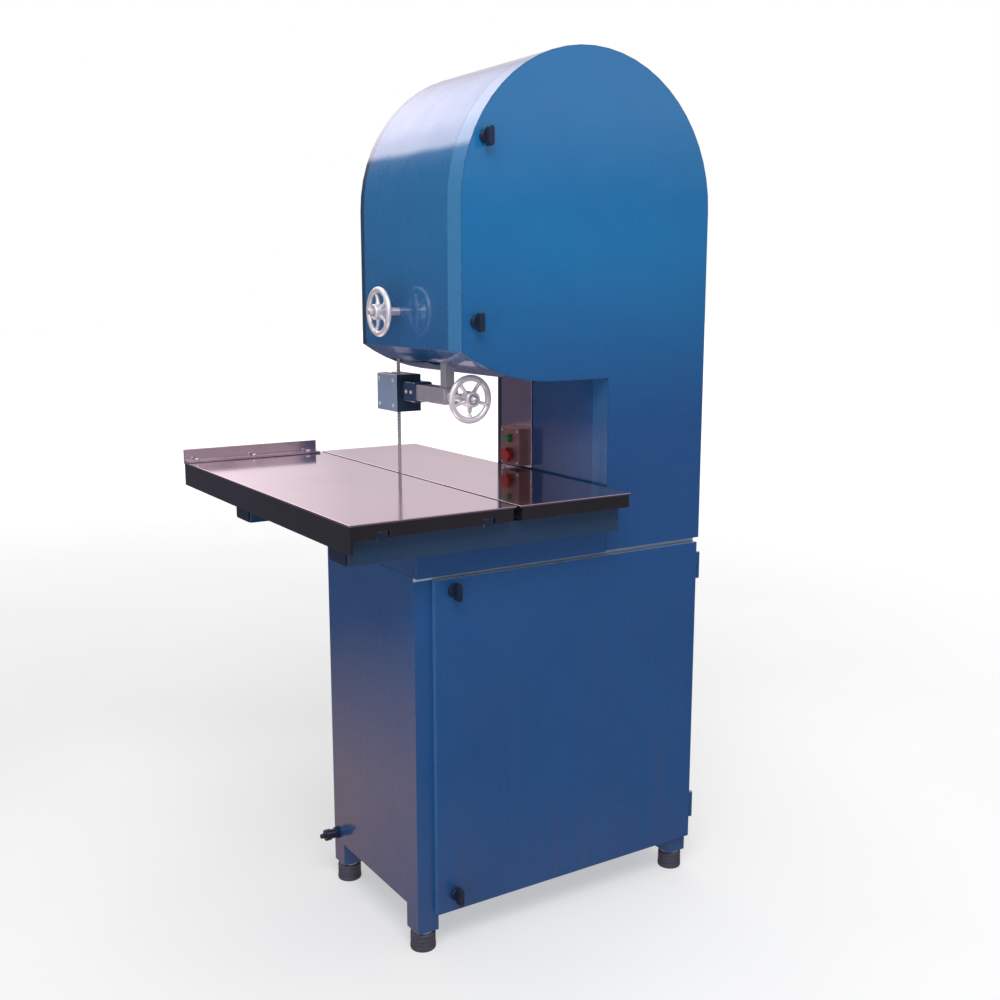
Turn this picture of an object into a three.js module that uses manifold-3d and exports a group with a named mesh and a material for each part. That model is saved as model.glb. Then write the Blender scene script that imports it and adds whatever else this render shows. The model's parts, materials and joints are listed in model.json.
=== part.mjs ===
// Butcher's bone saw: a floor-standing vertical band saw.
// A steel cabinet carries a column and a round-topped head. An endless toothed blade runs
// over two flanged wheels, down past an adjustable guide and through a stainless table whose
// left half is a sliding meat carriage. Millimetres, +Z up. The front (-Y) is the service side
// and the operator stands at +Y. The origin is at floor level under the middle of the machine.

import * as THREE from 'three';
import { mergeVertices } from 'three/addons/utils/BufferGeometryUtils.js';
import Module from 'manifold-3d';

const wasm = await Module();
wasm.setup();

// ---------------------------------------------------------------- driving dimensions

// Outer limits of the whole machine, measured from the cabinet's front-left corner.
const LIMITS = { left: -174, right: 686, front: -90, rear: 770 };

const SHEET = 3;          // folded sheet steel
const GAP = 0.4;          // clearance between neighbouring pieces
const DEPTH = 400;        // casing depth over the closed doors
const FLANGE = 15;        // door seat, measured inwards from the casing's outline

const CABINET = { left: 0, right: 668, front: 12.5, rear: 387.5, bottom: 89, top: 743.9 };
const CABINET_DOOR = { left: 37, right: 668, bottom: 77, top: 737, depth: 12 };
const CABINET_SEAT = { left: 62, right: 628, bottom: 97, top: 728 };
const LEG = { size: 45, bottom: 40.4 };
const FOOT = { topRadius: 21, radius: 25, height: 40 };

const HEAD = { left: 97, right: 672, front: 50.5, rear: 383.5, x: 384.5, z: 1412.5, radius: 287.5 };
const CHIN = { x: 290, z: 1429, radius: 340 };          // curved underside of the head
const COLUMN = { left: 427, bottom: 744.3 };
const ARC_STEPS = { head: 28, chin: 7, blade: 20, belt: 18 };
const PEDESTAL = { left: 0, right: 426.6, top: 800 };
const FRONT_DOOR_DEPTH = 50;
const REAR_DOOR_DEPTH = 16;
const HEAD_DOOR_BOTTOM = 747;

const HINGE = { x: 680, radius: 6, pin: 3, bore: 3.4, half: 28, leaf: 4.5 };
const HEAD_HINGES = [836, 1316];
const CABINET_HINGES = [116, 656];

const HEAD_LATCHES = { upper: [146, 1523], lower: [126, 1202] };
const CABINET_LATCHES = { upper: [76, 714], lower: [76, 112] };

const WHEEL = { radius: 223, flange: 229, front: 349, width: 32, hub: 30, segments: 24 };
const LOWER_WHEEL_Z = 420;
const BLADE = { x: 160, front: 358, rear: 374, thickness: 0.8 };
const SHAFT = { radius: 10, rear: 384 };
const BEARING = { radius: 17, width: 14 };
const PLATE = { front: 300, rear: 312 };

const PULLEY = { front: 70, rear: 100, x: HEAD.x, z: LOWER_WHEEL_Z, radius: 125, beltRadius: 115 };
const MOTOR = { x: 160, z: 210, radius: 80, front: 110, rear: 300, pulley: 50, beltRadius: 40, shaft: 12 };
const BELT = { front: 82, rear: 88, height: 8 };

const TABLE = { top: 878, sheet: 4, groove: 7, right: 416 };
const SKIRT = { bottom: 850, sideBottom: 826, wall: 6 };
const RAIL = { bottom: 846.4, top: 860, width: 20, left: [-120, 90] };
const BEAM = { left: -164, right: 410, bottom: 800.4, top: 846, width: 72, overlap: 10 };
const FENCE = { left: -174, right: 145, top: 906, foot: 30, sheet: 4 };

const POST = { size: 20, x: 160, y: 162, top: 1330 };
const ARM = { size: 32, front: 148, rear: 305, z: 1056, wall: 5.5 };
const PINION = { x: [151, 169], y: 240, z: 1217, radius: 15, teeth: 12, shaft: 8 };
const TOOTH = { addendum: 1.8, dedendum: 2.4, tip: 1.9, root: 4.4 };
const BLOCK = { width: 56, front: 320, rear: 408, bottom: 1012, top: 1088, slot: 10 };
const ROLLER = { radius: 11, width: 14, journal: 4 };
const HANDWHEEL = { radius: 48, rim: 4.5, hub: 13, spoke: 4 };

const SWITCH_BOX = { left: 396, front: 268, rear: 338, bottom: 885, top: 965 };

// ---------------------------------------------------------------- materials

function finish(color, roughness, metalness) {
  return { color, roughness, metalness };
}

const BLUE_PAINT = finish('#1b5a96', 0.28, 0.1);
const STAINLESS = finish('#c3b6bd', 0.22, 1);
const STEEL = finish('#8b8d90', 0.4, 1);
const CAST_IRON = finish('#4a4d50', 0.6, 0.8);
const ALUMINIUM = finish('#cfd1d3', 0.35, 1);
const BLACK_PAINT = finish('#1d1a1e', 0.45, 0.1);
const BLACK_PLASTIC = finish('#15161a', 0.4, 0);
const RUBBER = finish('#3a3d44', 0.8, 0);
const RED_PLASTIC = finish('#b3202a', 0.35, 0);
const GREEN_PLASTIC = finish('#1f8a3d', 0.35, 0);
const NAVY_PAINT = finish('#24375c', 0.35, 0.1);

// ---------------------------------------------------------------- solids and booleans

// Turns a closed three.js geometry into a solid, dropping triangles that collapse to a line.
function solidOf(geometry) {
  const bare = new THREE.BufferGeometry();
  bare.setAttribute('position', geometry.getAttribute('position'));
  bare.setIndex(geometry.getIndex());
  const merged = mergeVertices(bare, 1e-4);
  const corners = merged.getIndex().array;
  const triangles = [];
  for (let i = 0; i < corners.length; i += 3) {
    const [a, b, c] = [corners[i], corners[i + 1], corners[i + 2]];
    if (a !== b && b !== c && c !== a) {
      triangles.push(a, b, c);
    }
  }
  return new wasm.Manifold(new wasm.Mesh({
    numProp: 3,
    vertProperties: Float32Array.from(merged.getAttribute('position').array),
    triVerts: Uint32Array.from(triangles),
  }));
}

function joined(...solids) {
  return solids.reduce((whole, next) => whole.add(next));
}

function cut(solid, ...tools) {
  return tools.reduce((whole, tool) => whole.subtract(tool), solid);
}

// A block between two limits on each axis.
function block([x0, x1], [y0, y1], [z0, z1]) {
  const geometry = new THREE.BoxGeometry(x1 - x0, y1 - y0, z1 - z0);
  geometry.translate((x0 + x1) / 2, (y0 + y1) / 2, (z0 + z1) / 2);
  return solidOf(geometry);
}

// A round bar along the x, y or z axis; centre holds its other two coordinates.
function bar(axis, radius, from, to, [u, v], segments = 12) {
  const geometry = new THREE.CylinderGeometry(radius, radius, to - from, segments);
  const middle = (from + to) / 2;
  if (axis === 'x') {
    geometry.rotateZ(-Math.PI / 2);
    geometry.translate(middle, u, v);
  } else if (axis === 'y') {
    geometry.translate(u, middle, v);
  } else {
    geometry.rotateX(Math.PI / 2);
    geometry.translate(u, v, middle);
  }
  return solidOf(geometry);
}

// A turned piece about the y axis through (x, z); the profile is [radius, y] pairs.
function turned(profile, [x, z], segments) {
  const points = profile.map(([radius, y]) => new THREE.Vector2(radius, y));
  const geometry = new THREE.LatheGeometry(points, segments);
  geometry.translate(x, 0, z);
  return solidOf(geometry);
}

// An outline in the x-z plane, extruded from y0 to y1.
function plateAlongY(outline, y0, y1) {
  const geometry = new THREE.ExtrudeGeometry(outline, { depth: y1 - y0, bevelEnabled: false });
  geometry.rotateX(Math.PI / 2);
  geometry.translate(0, y1, 0);
  return solidOf(geometry);
}

// An outline in the y-z plane, extruded from x0 to x1.
function plateAlongX(outline, x0, x1) {
  const geometry = new THREE.ExtrudeGeometry(outline, { depth: x1 - x0, bevelEnabled: false });
  const turn = new THREE.Matrix4().makeBasis(
    new THREE.Vector3(0, 1, 0), new THREE.Vector3(0, 0, 1), new THREE.Vector3(1, 0, 0));
  geometry.applyMatrix4(turn);
  geometry.translate(x0, 0, 0);
  return solidOf(geometry);
}

function polygon(points) {
  return new THREE.Shape(points.map(([u, v]) => new THREE.Vector2(u, v)));
}

function rectangle([x0, x1], [z0, z1]) {
  return polygon([[x0, z0], [x1, z0], [x1, z1], [x0, z1]]);
}

function meshOf(name, solid, look) {
  const { vertProperties, triVerts } = solid.getMesh();
  const geometry = new THREE.BufferGeometry();
  geometry.setAttribute('position', new THREE.BufferAttribute(vertProperties, 3));
  geometry.setIndex(new THREE.BufferAttribute(triVerts, 1));
  geometry.computeVertexNormals();
  const mesh = new THREE.Mesh(geometry, new THREE.MeshStandardMaterial(look));
  mesh.name = name;
  return mesh;
}

const machine = new THREE.Group();
machine.position.set(-(LIMITS.left + LIMITS.right) / 2, -(LIMITS.front + LIMITS.rear) / 2, 0);

function addPiece(name, solid, look) {
  machine.add(meshOf(name, solid, look));
}

// ---------------------------------------------------------------- casing

// Points along an arc, from one angle to another.
function arcPoints([u, v], radius, from, to, steps) {
  const points = [];
  for (let i = 0; i <= steps; i += 1) {
    const angle = from + (to - from) * i / steps;
    points.push([u + radius * Math.cos(angle), v + radius * Math.sin(angle)]);
  }
  return points;
}

// Outline of the head and column, moved inwards by inset: a half-round top, a straight left
// side, a curved chin and the column's two sides down to the given bottom.
function headOutline(inset, bottom) {
  const left = HEAD.left + inset;
  const chinRadius = CHIN.radius - inset;
  const chinStart = Math.PI + Math.acos((CHIN.x - left) / chinRadius);
  return polygon([
    [HEAD.right - inset, bottom],
    ...arcPoints([HEAD.x, HEAD.z], HEAD.radius - inset, 0, Math.PI, ARC_STEPS.head),
    ...arcPoints([CHIN.x, CHIN.z], chinRadius, chinStart, 1.5 * Math.PI, ARC_STEPS.chin),
    [COLUMN.left + inset, CHIN.z - chinRadius],
    [COLUMN.left + inset, bottom],
  ]);
}

function cabinetDoorOutline(inset) {
  return rectangle(
    [CABINET_DOOR.left + inset, CABINET_DOOR.right - inset],
    [CABINET_DOOR.bottom + inset, CABINET_DOOR.top - inset]);
}

// y limits of a strip beside the hinge axis, on its +y side (side 1) or its -y side (side -1).
function besideAxis(axisY, side) {
  const near = axisY + side * GAP;
  const far = near + side * HINGE.leaf;
  return [Math.min(near, far), Math.max(near, far)];
}

// Lower half of a lift-off hinge, welded to the casing, with the pin standing on it.
function casingHinge(wallX, axisY, side, z) {
  const top = z + HINGE.half;
  return joined(
    bar('z', HINGE.radius, z, top, [HINGE.x, axisY]),
    bar('z', HINGE.pin, z + 1, top + HINGE.half - 3, [HINGE.x, axisY], 8),
    block([wallX - 1, HINGE.x], besideAxis(axisY, side), [z, top]));
}

// Upper half of a lift-off hinge: the door's knuckle, dropped over the pin.
function hangOnHinges(door, edgeX, axisY, side, heights) {
  let hung = door;
  for (const z of heights) {
    const bottom = z + HINGE.half + GAP;
    const top = bottom + HINGE.half;
    const knuckle = joined(
      bar('z', HINGE.radius, bottom, top, [HINGE.x, axisY]),
      block([edgeX - 1, HINGE.x], besideAxis(axisY, -side), [bottom, top]));
    hung = hung.add(cut(knuckle, bar('z', HINGE.bore, bottom - 1, top - 2, [HINGE.x, axisY], 8)));
  }
  return hung;
}

function buildCabinet() {
  const { left, right, front, rear, bottom, top } = CABINET;
  let shell = block([left, right], [front, rear], [bottom, top]);
  shell = cut(
    shell,
    block([left + SHEET, right - SHEET], [front + SHEET, rear - SHEET], [bottom + SHEET, top - SHEET]),
    block([left + 25, right - 25], [front + 25, rear - 9.5], [top - 10, top + 10]),
    block([CABINET_SEAT.left, CABINET_SEAT.right], [front - 10, rear + 10],
      [CABINET_SEAT.bottom, CABINET_SEAT.top]));
  for (const x of [left, right - LEG.size]) {
    for (const y of [front, rear - LEG.size]) {
      shell = shell.add(block([x, x + LEG.size], [y, y + LEG.size], [LEG.bottom, bottom + SHEET]));
    }
  }
  for (const z of CABINET_HINGES) {
    shell = joined(shell, casingHinge(right, front - 0.25, 1, z), casingHinge(right, rear + 0.25, -1, z));
  }
  addPiece('cabinet_shell', shell, BLUE_PAINT);
}

function buildFeet() {
  const places = {
    front_left_foot: [CABINET.left, CABINET.front],
    front_right_foot: [CABINET.right - LEG.size, CABINET.front],
    rear_left_foot: [CABINET.left, CABINET.rear - LEG.size],
    rear_right_foot: [CABINET.right - LEG.size, CABINET.rear - LEG.size],
  };
  for (const [name, [x, y]] of Object.entries(places)) {
    const geometry = new THREE.CylinderGeometry(FOOT.topRadius, FOOT.radius, FOOT.height, 20);
    geometry.rotateX(Math.PI / 2);
    geometry.translate(x + LEG.size / 2, y + LEG.size / 2, FOOT.height / 2);
    addPiece(name, solidOf(geometry), RUBBER);
  }
}

// The head and column are one wrap of sheet with a door seat at each end; the pedestal under
// the table is a box open to the cabinet below. Slots let the blade be lifted out rearwards.
function buildUpperShell() {
  const { bottom } = COLUMN;
  const below = bottom - 20;
  const wrap = cut(
    plateAlongY(headOutline(0, bottom), HEAD.front, HEAD.rear),
    plateAlongY(headOutline(SHEET, below), HEAD.front + SHEET, HEAD.rear - SHEET),
    plateAlongY(headOutline(FLANGE, below), HEAD.front - 5, HEAD.rear + 5));
  const pedestal = cut(
    block([PEDESTAL.left, PEDESTAL.right], [0, DEPTH], [bottom, PEDESTAL.top]),
    block([PEDESTAL.left + SHEET, PEDESTAL.right - SHEET], [SHEET, DEPTH - SHEET],
      [below, PEDESTAL.top - SHEET]));
  const weld = block([PEDESTAL.right - 1, COLUMN.left + 1], [HEAD.front, HEAD.rear], [bottom, PEDESTAL.top]);
  let shell = joined(wrap, pedestal, weld);
  const slot = [BLADE.x - 8, BLADE.x + 8];
  const postHole = [POST.x - POST.size / 2 - 2, POST.x + POST.size / 2 + 2];
  shell = cut(
    shell,
    block(slot, [345, DEPTH + 10], [1095, 1140]),
    block(slot, [345, DEPTH + 10], [bottom - 10, PEDESTAL.top + 10]),
    block(postHole, [POST.y - POST.size / 2 - 2, 230], [1090, 1140]),
    bar('x', PINION.shaft + 1, HEAD.left - 10, HEAD.left + 10, [PINION.y, PINION.z]));
  for (const z of HEAD_HINGES) {
    shell = joined(
      shell,
      casingHinge(HEAD.right, HEAD.front - 0.25, 1, z),
      casingHinge(HEAD.right, HEAD.rear + 0.25, -1, z));
  }
  addPiece('upper_shell', shell, BLUE_PAINT);
}

// A door is a shallow pan: a skin with a rim turned towards the casing and a hole per latch.
function panDoor(outline, depth, onFront, latches) {
  const solid = onFront
    ? cut(plateAlongY(outline(0), 0, depth), plateAlongY(outline(SHEET), SHEET, depth + 1))
    : cut(plateAlongY(outline(0), DEPTH - depth, DEPTH),
      plateAlongY(outline(SHEET), DEPTH - depth - 1, DEPTH - SHEET));
  const holes = Object.values(latches).map((place) => bar('y', 6.5, -10, DEPTH + 10, place, 10));
  return cut(solid, ...holes);
}

function buildDoors() {
  const headDoor = (inset) => headOutline(inset, HEAD_DOOR_BOTTOM + inset);
  const frontUpper = panDoor(headDoor, FRONT_DOOR_DEPTH, true, HEAD_LATCHES);
  const rearUpper = panDoor(headDoor, REAR_DOOR_DEPTH, false, HEAD_LATCHES);
  const frontLower = panDoor(cabinetDoorOutline, CABINET_DOOR.depth, true, CABINET_LATCHES);
  const rearLower = panDoor(cabinetDoorOutline, CABINET_DOOR.depth, false, CABINET_LATCHES);
  const { right } = CABINET;
  addPiece('front_upper_door',
    hangOnHinges(frontUpper, HEAD.right, HEAD.front - 0.25, 1, HEAD_HINGES), BLUE_PAINT);
  addPiece('rear_upper_door',
    hangOnHinges(rearUpper, HEAD.right, HEAD.rear + 0.25, -1, HEAD_HINGES), BLUE_PAINT);
  addPiece('front_lower_door',
    hangOnHinges(frontLower, right, CABINET.front - 0.25, 1, CABINET_HINGES), BLUE_PAINT);
  addPiece('rear_lower_door',
    hangOnHinges(rearLower, right, CABINET.rear + 0.25, -1, CABINET_HINGES), BLUE_PAINT);
}

// A quarter-turn latch, built along the depth measured inwards from the door's outer face:
// grip and boss outside, spindle through the door, and a cam hanging behind the door seat.
function buildLatch(name, [x, z], seatDepth, onFront) {
  const camStart = seatDepth + SHEET + 1;
  const camEnd = camStart + 4;
  const span = (from, to) => (onFront ? [from, to] : [DEPTH - to, DEPTH - from]);
  const [bossFrom, bossTo] = span(-9.5, -GAP - 0.1);
  const [spindleFrom, spindleTo] = span(-1, camEnd);
  addPiece(name, joined(
    block([x - 5, x + 5], span(-25, -9), [z - 17, z + 17]),
    bar('y', 12, bossFrom, bossTo, [x, z]),
    bar('y', 5.5, spindleFrom, spindleTo, [x, z], 8),
    block([x - 6, x + 6], span(camStart, camEnd), [z - 18, z + 6])), BLACK_PLASTIC);
}

function buildLatches() {
  for (const end of ['upper', 'lower']) {
    buildLatch(`front_head_${end}_latch`, HEAD_LATCHES[end], HEAD.front, true);
    buildLatch(`rear_head_${end}_latch`, HEAD_LATCHES[end], DEPTH - HEAD.rear, false);
    buildLatch(`front_cabinet_${end}_latch`, CABINET_LATCHES[end], CABINET.front, true);
    buildLatch(`rear_cabinet_${end}_latch`, CABINET_LATCHES[end], DEPTH - CABINET.rear, false);
  }
}

// Cable entry low on the cabinet's left side.
function buildCableGland() {
  const centre = [372, 106];
  addPiece('cable_gland', joined(
    bar('x', 14, -6, -GAP, centre, 6),
    bar('x', 10, -22, -5, centre),
    bar('x', 12, -30, -18, centre),
    bar('x', 5, -40, -29, centre)), BLACK_PLASTIC);
}

// ---------------------------------------------------------------- frame, wheels and drive

// C-shaped backbone plate with a window for the tension slide and a bracket for its screw.
function buildFramePlate() {
  const outline = polygon([
    [640, 95], [640, 1500], [330, 1500], [330, 1225], [460, 1225], [460, 520], [310, 520],
    [310, 330], [460, 330], [460, 95]]);
  const plate = cut(
    plateAlongY(outline, PLATE.front, PLATE.rear),
    block([355.5, 413.5], [290, 320], [1340, 1455]),
    bar('y', 14, 290, 320, [HEAD.x, LOWER_WHEEL_Z]));
  const bracket = cut(
    block([HEAD.x - 20, HEAD.x + 20], [255, PLATE.front + 1], [1240, 1255]),
    bar('z', 6.6, 1230, 1265, [HEAD.x, 270]));
  addPiece('frame_plate', plate.add(bracket), CAST_IRON);
}

// A band wheel: hub, web with six round holes, rim, and a flange behind the blade.
function bandWheel(centre) {
  const { radius, flange, front, width, hub, segments } = WHEEL;
  const bore = SHAFT.radius + GAP;
  const inner = radius - 14;
  const wheel = turned([
    [bore, front - 9], [hub, front - 9], [hub, front + 12], [inner, front + 12], [inner, front],
    [flange, front], [flange, front + 5], [radius, front + 5], [radius, front + width],
    [inner, front + width], [inner, front + 20], [hub, front + 20], [hub, front + 34.5],
    [bore, front + 34.5], [bore, front - 9]], centre, segments);
  const holes = [];
  for (let i = 0; i < 6; i += 1) {
    const angle = (i + 0.5) * Math.PI / 3;
    const place = [centre[0] + 122 * Math.cos(angle), centre[1] + 122 * Math.sin(angle)];
    holes.push(bar('y', 38, front, front + width, place, 8));
  }
  return cut(wheel, ...holes);
}

function bearing(front, centre) {
  const { radius, width } = BEARING;
  const bore = SHAFT.radius + GAP;
  return turned([
    [bore, front], [radius, front], [radius, front + width], [bore, front + width], [bore, front],
  ], centre, 12);
}

function buildLowerWheel() {
  const centre = [HEAD.x, LOWER_WHEEL_Z];
  addPiece('lower_wheel', bandWheel(centre), ALUMINIUM);
  addPiece('lower_shaft', bar('y', SHAFT.radius, 56, SHAFT.rear, centre), STEEL);
  const housing = joined(
    bar('y', 30, 120, PLATE.front - GAP, centre, 24),
    bar('y', 50, 288, PLATE.front - GAP, centre, 24));
  addPiece('lower_bearing_housing',
    cut(housing, bar('y', BEARING.radius + GAP, 100, 310, centre)), CAST_IRON);
  addPiece('lower_front_bearing', bearing(121, centre), STEEL);
  addPiece('lower_rear_bearing', bearing(284, centre), STEEL);
}

function buildUpperWheel() {
  const centre = [HEAD.x, HEAD.z];
  addPiece('upper_wheel', bandWheel(centre), ALUMINIUM);
  addPiece('upper_shaft', bar('y', SHAFT.radius, 236, SHAFT.rear, centre), STEEL);
  const slide = joined(
    block([340, 429], [240, PLATE.front - GAP], [1330, 1445]),
    block([356, 413], [PLATE.front - 1, 330], [1380, 1445]));
  addPiece('upper_bearing_block', cut(
    slide,
    bar('y', BEARING.radius + GAP, 230, 340, centre),
    bar('z', 6.6, 1320, 1392, [HEAD.x, 270])), CAST_IRON);
  addPiece('upper_front_bearing', bearing(242, centre), STEEL);
  addPiece('upper_rear_bearing', bearing(315, centre), STEEL);
}

// The tension screw turns in the frame's bracket and lifts the slide on its thread.
function buildTensionScrew() {
  const profile = [
    [0, 1196], [17, 1196], [17, 1226], [9, 1226], [9, 1239.6], [6, 1239.6], [6, 1255.4],
    [10, 1255.4], [10, 1262], [6, 1262], [6, 1360], [0, 1360]];
  const geometry = new THREE.LatheGeometry(profile.map(([r, z]) => new THREE.Vector2(r, z)), 12);
  geometry.rotateX(Math.PI / 2);
  geometry.translate(HEAD.x, 270, 0);
  addPiece('tension_screw', solidOf(geometry), STEEL);
}

// The endless blade: two half circles joined by two straight runs.
function bladeOutline(radius) {
  return [
    ...arcPoints([HEAD.x, HEAD.z], radius, 0, Math.PI, ARC_STEPS.blade),
    ...arcPoints([HEAD.x, LOWER_WHEEL_Z], radius, Math.PI, 2 * Math.PI, ARC_STEPS.blade),
  ];
}

// A flat ring between an outer and an inner outline.
function ringAlongY(outer, inner, y0, y1) {
  const outline = polygon(outer);
  outline.holes.push(polygon(inner));
  return plateAlongY(outline, y0, y1);
}

function buildBlade() {
  const middle = HEAD.x - BLADE.x;
  const half = BLADE.thickness / 2;
  addPiece('saw_blade',
    ringAlongY(bladeOutline(middle + half), bladeOutline(middle - half), BLADE.front, BLADE.rear),
    STEEL);
}

function pulley(radius, bore, centre) {
  const { front, rear } = PULLEY;
  return turned([
    [bore, front], [radius, front], [radius, front + 9], [radius - 12, front + 11.5],
    [radius - 12, rear - 11.5], [radius, rear - 9], [radius, rear], [bore, rear], [bore, front],
  ], centre, 18);
}

// Outline of an open belt round both pulleys, from its radius at each one.
function beltOutline(motorRadius, drivenRadius) {
  const dx = PULLEY.x - MOTOR.x;
  const dz = PULLEY.z - MOTOR.z;
  const direction = Math.atan2(dz, dx);
  const spread = Math.acos((motorRadius - drivenRadius) / Math.hypot(dx, dz));
  return [
    ...arcPoints([PULLEY.x, PULLEY.z], drivenRadius, direction - spread, direction + spread,
      ARC_STEPS.belt),
    ...arcPoints([MOTOR.x, MOTOR.z], motorRadius, direction + spread,
      direction - spread + 2 * Math.PI, ARC_STEPS.belt),
  ];
}

function buildDrive() {
  const motorCentre = [MOTOR.x, MOTOR.z];
  addPiece('driven_pulley', pulley(PULLEY.radius, SHAFT.radius + GAP, [PULLEY.x, PULLEY.z]), CAST_IRON);
  addPiece('motor_pulley', pulley(MOTOR.pulley, MOTOR.shaft + GAP, motorCentre), CAST_IRON);
  addPiece('motor_shaft', bar('y', MOTOR.shaft, 62, MOTOR.front + 28, motorCentre), STEEL);
  const motor = joined(
    bar('y', MOTOR.radius, MOTOR.front, MOTOR.rear, motorCentre, 28),
    block([85, 235], [140, 270], [92.4, 150]),
    block([130, 190], [170, 250], [270, 312]));
  addPiece('motor', cut(motor, bar('y', MOTOR.shaft + 0.6, 100, MOTOR.front + 30, motorCentre)),
    BLUE_PAINT);
  addPiece('drive_belt', ringAlongY(
    beltOutline(MOTOR.beltRadius + BELT.height, PULLEY.beltRadius + BELT.height),
    beltOutline(MOTOR.beltRadius, PULLEY.beltRadius), BELT.front, BELT.rear), RUBBER);
}

// ---------------------------------------------------------------- blade guide

// Post bracket inside the head: an open-backed guide for the post and a bore for the pinion.
function buildPostBracket() {
  const wall = HEAD.left + SHEET + GAP;
  const half = POST.size / 2 + GAP;
  const guide = cut(
    block([wall, 188], [138, 186], [1156, 1200]),
    block([POST.x - half, POST.x + half], [POST.y - half, 200], [1140, 1210]));
  const boss = block([wall, 145], [180, 262], [1190, 1242]);
  addPiece('post_bracket', cut(
    guide.add(boss),
    bar('x', PINION.shaft + GAP, 90, 150, [PINION.y, PINION.z])), CAST_IRON);
}

// The post carries a web with a rack on its rear edge. A gap between teeth faces the pinion.
function buildGuidePost() {
  const pitch = 2 * Math.PI * PINION.radius / PINION.teeth;
  const pitchLine = PINION.y - PINION.radius;
  const root = pitchLine - TOOTH.dedendum;
  const tip = pitchLine + TOOTH.addendum;
  const first = -2;
  const last = 13;
  const webBottom = PINION.z + first * pitch;
  const edge = [[POST.y, webBottom], [root, webBottom]];
  for (let tooth = first; tooth <= last; tooth += 1) {
    const z = PINION.z + (tooth + 0.5) * pitch;
    edge.push([root, z - TOOTH.root / 2]);
    edge.push([tip, z - TOOTH.tip / 2]);
    edge.push([tip, z + TOOTH.tip / 2]);
    edge.push([root, z + TOOTH.root / 2]);
  }
  edge.push([root, POST.top], [POST.y, POST.top]);
  const half = POST.size / 2;
  const post = block(
    [POST.x - half, POST.x + half], [POST.y - half, POST.y + half],
    [ARM.z + ARM.size / 2 + GAP, POST.top]);
  addPiece('guide_post', post.add(plateAlongX(polygon(edge), POST.x - 7, POST.x + 7)), STEEL);
}

function pinionOutline() {
  const points = [];
  const rootRadius = PINION.radius - TOOTH.dedendum;
  const tipRadius = PINION.radius + TOOTH.addendum;
  const rootHalf = TOOTH.root / 2 / rootRadius;
  const tipHalf = TOOTH.tip / 2 / tipRadius;
  for (let i = 0; i < PINION.teeth; i += 1) {
    const angle = Math.PI + i * 2 * Math.PI / PINION.teeth;
    const corners = [
      [rootRadius, -rootHalf], [tipRadius, -tipHalf], [tipRadius, tipHalf], [rootRadius, rootHalf]];
    for (const [radius, offset] of corners) {
      const a = angle + offset;
      points.push([PINION.y + radius * Math.cos(a), PINION.z + radius * Math.sin(a)]);
    }
  }
  return polygon(points);
}

// A four-spoked handwheel about the y axis through the origin.
function handwheel(radius, hubFrom, hubTo, bore) {
  const rimGeometry = new THREE.TorusGeometry(radius - HANDWHEEL.rim, HANDWHEEL.rim, 6, 16);
  rimGeometry.rotateX(Math.PI / 2);
  const middle = (hubFrom + hubTo) / 2;
  const reach = radius - HANDWHEEL.rim;
  const wheel = joined(
    solidOf(rimGeometry).translate(0, middle, 0),
    bar('y', HANDWHEEL.hub, hubFrom, hubTo, [0, 0]),
    bar('x', HANDWHEEL.spoke, -reach, reach, [middle, 0], 6),
    bar('z', HANDWHEEL.spoke, -reach, reach, [0, middle], 6));
  return bore > 0 ? cut(wheel, bar('y', bore, hubFrom - 1, hubTo + 1, [0, 0])) : wheel;
}

function buildPostDrive() {
  const shaft = joined(
    bar('x', PINION.shaft, 40, 180, [PINION.y, PINION.z]),
    plateAlongX(pinionOutline(), PINION.x[0], PINION.x[1]));
  addPiece('pinion_shaft', shaft, STEEL);
  const wheel = meshOf('post_handwheel', handwheel(HANDWHEEL.radius, -14, 14, PINION.shaft + GAP),
    ALUMINIUM);
  wheel.rotation.z = -Math.PI / 2;
  wheel.position.set(54, PINION.y, PINION.z);
  machine.add(wheel);
}

// The arm is a square tube under the post; the guide block's stem slides inside it.
function buildGuideArm() {
  const half = ARM.size / 2;
  const inner = half - ARM.wall;
  addPiece('guide_arm', cut(
    block([POST.x - half, POST.x + half], [ARM.front, ARM.rear], [ARM.z - half, ARM.z + half]),
    block([POST.x - inner, POST.x + inner], [ARM.front + 8, ARM.rear + 10],
      [ARM.z - inner, ARM.z + inner]),
    bar('y', 5.6, ARM.front - 5, ARM.front + 10, [POST.x, ARM.z])), STEEL);
}

function buildGuideBlock() {
  const half = BLOCK.width / 2;
  const stem = POST.size / 2;
  const rollerY = BLADE.front - 0.6 - ROLLER.radius;
  const rollerZ = (BLOCK.bottom + BLOCK.top) / 2;
  const body = joined(
    block([POST.x - half, POST.x + half], [BLOCK.front, BLOCK.rear], [BLOCK.bottom, BLOCK.top]),
    block([POST.x - stem, POST.x + stem], [172, BLOCK.front + 1], [ARM.z - stem, ARM.z + stem]));
  const slotHalf = BLOCK.slot / 2;
  const pocket = ROLLER.width / 2 + 1.5;
  addPiece('guide_block', cut(
    body,
    block([POST.x - slotHalf, POST.x + slotHalf], [340, BLOCK.rear + 5],
      [BLOCK.bottom - 5, BLOCK.top + 5]),
    block([POST.x - pocket, POST.x + pocket], [rollerY - 13, rollerY + 13],
      [rollerZ - 13, rollerZ + 13]),
    bar('x', ROLLER.journal + GAP, POST.x - 18, POST.x + 18, [rollerY, rollerZ]),
    bar('y', 5.6, 160, 250, [POST.x, ARM.z])), NAVY_PAINT);
  addPiece('guide_roller', joined(
    bar('x', ROLLER.radius, POST.x - ROLLER.width / 2, POST.x + ROLLER.width / 2,
      [rollerY, rollerZ], 20),
    bar('x', ROLLER.journal, POST.x - 17, POST.x + 17, [rollerY, rollerZ])), STEEL);
}

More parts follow.
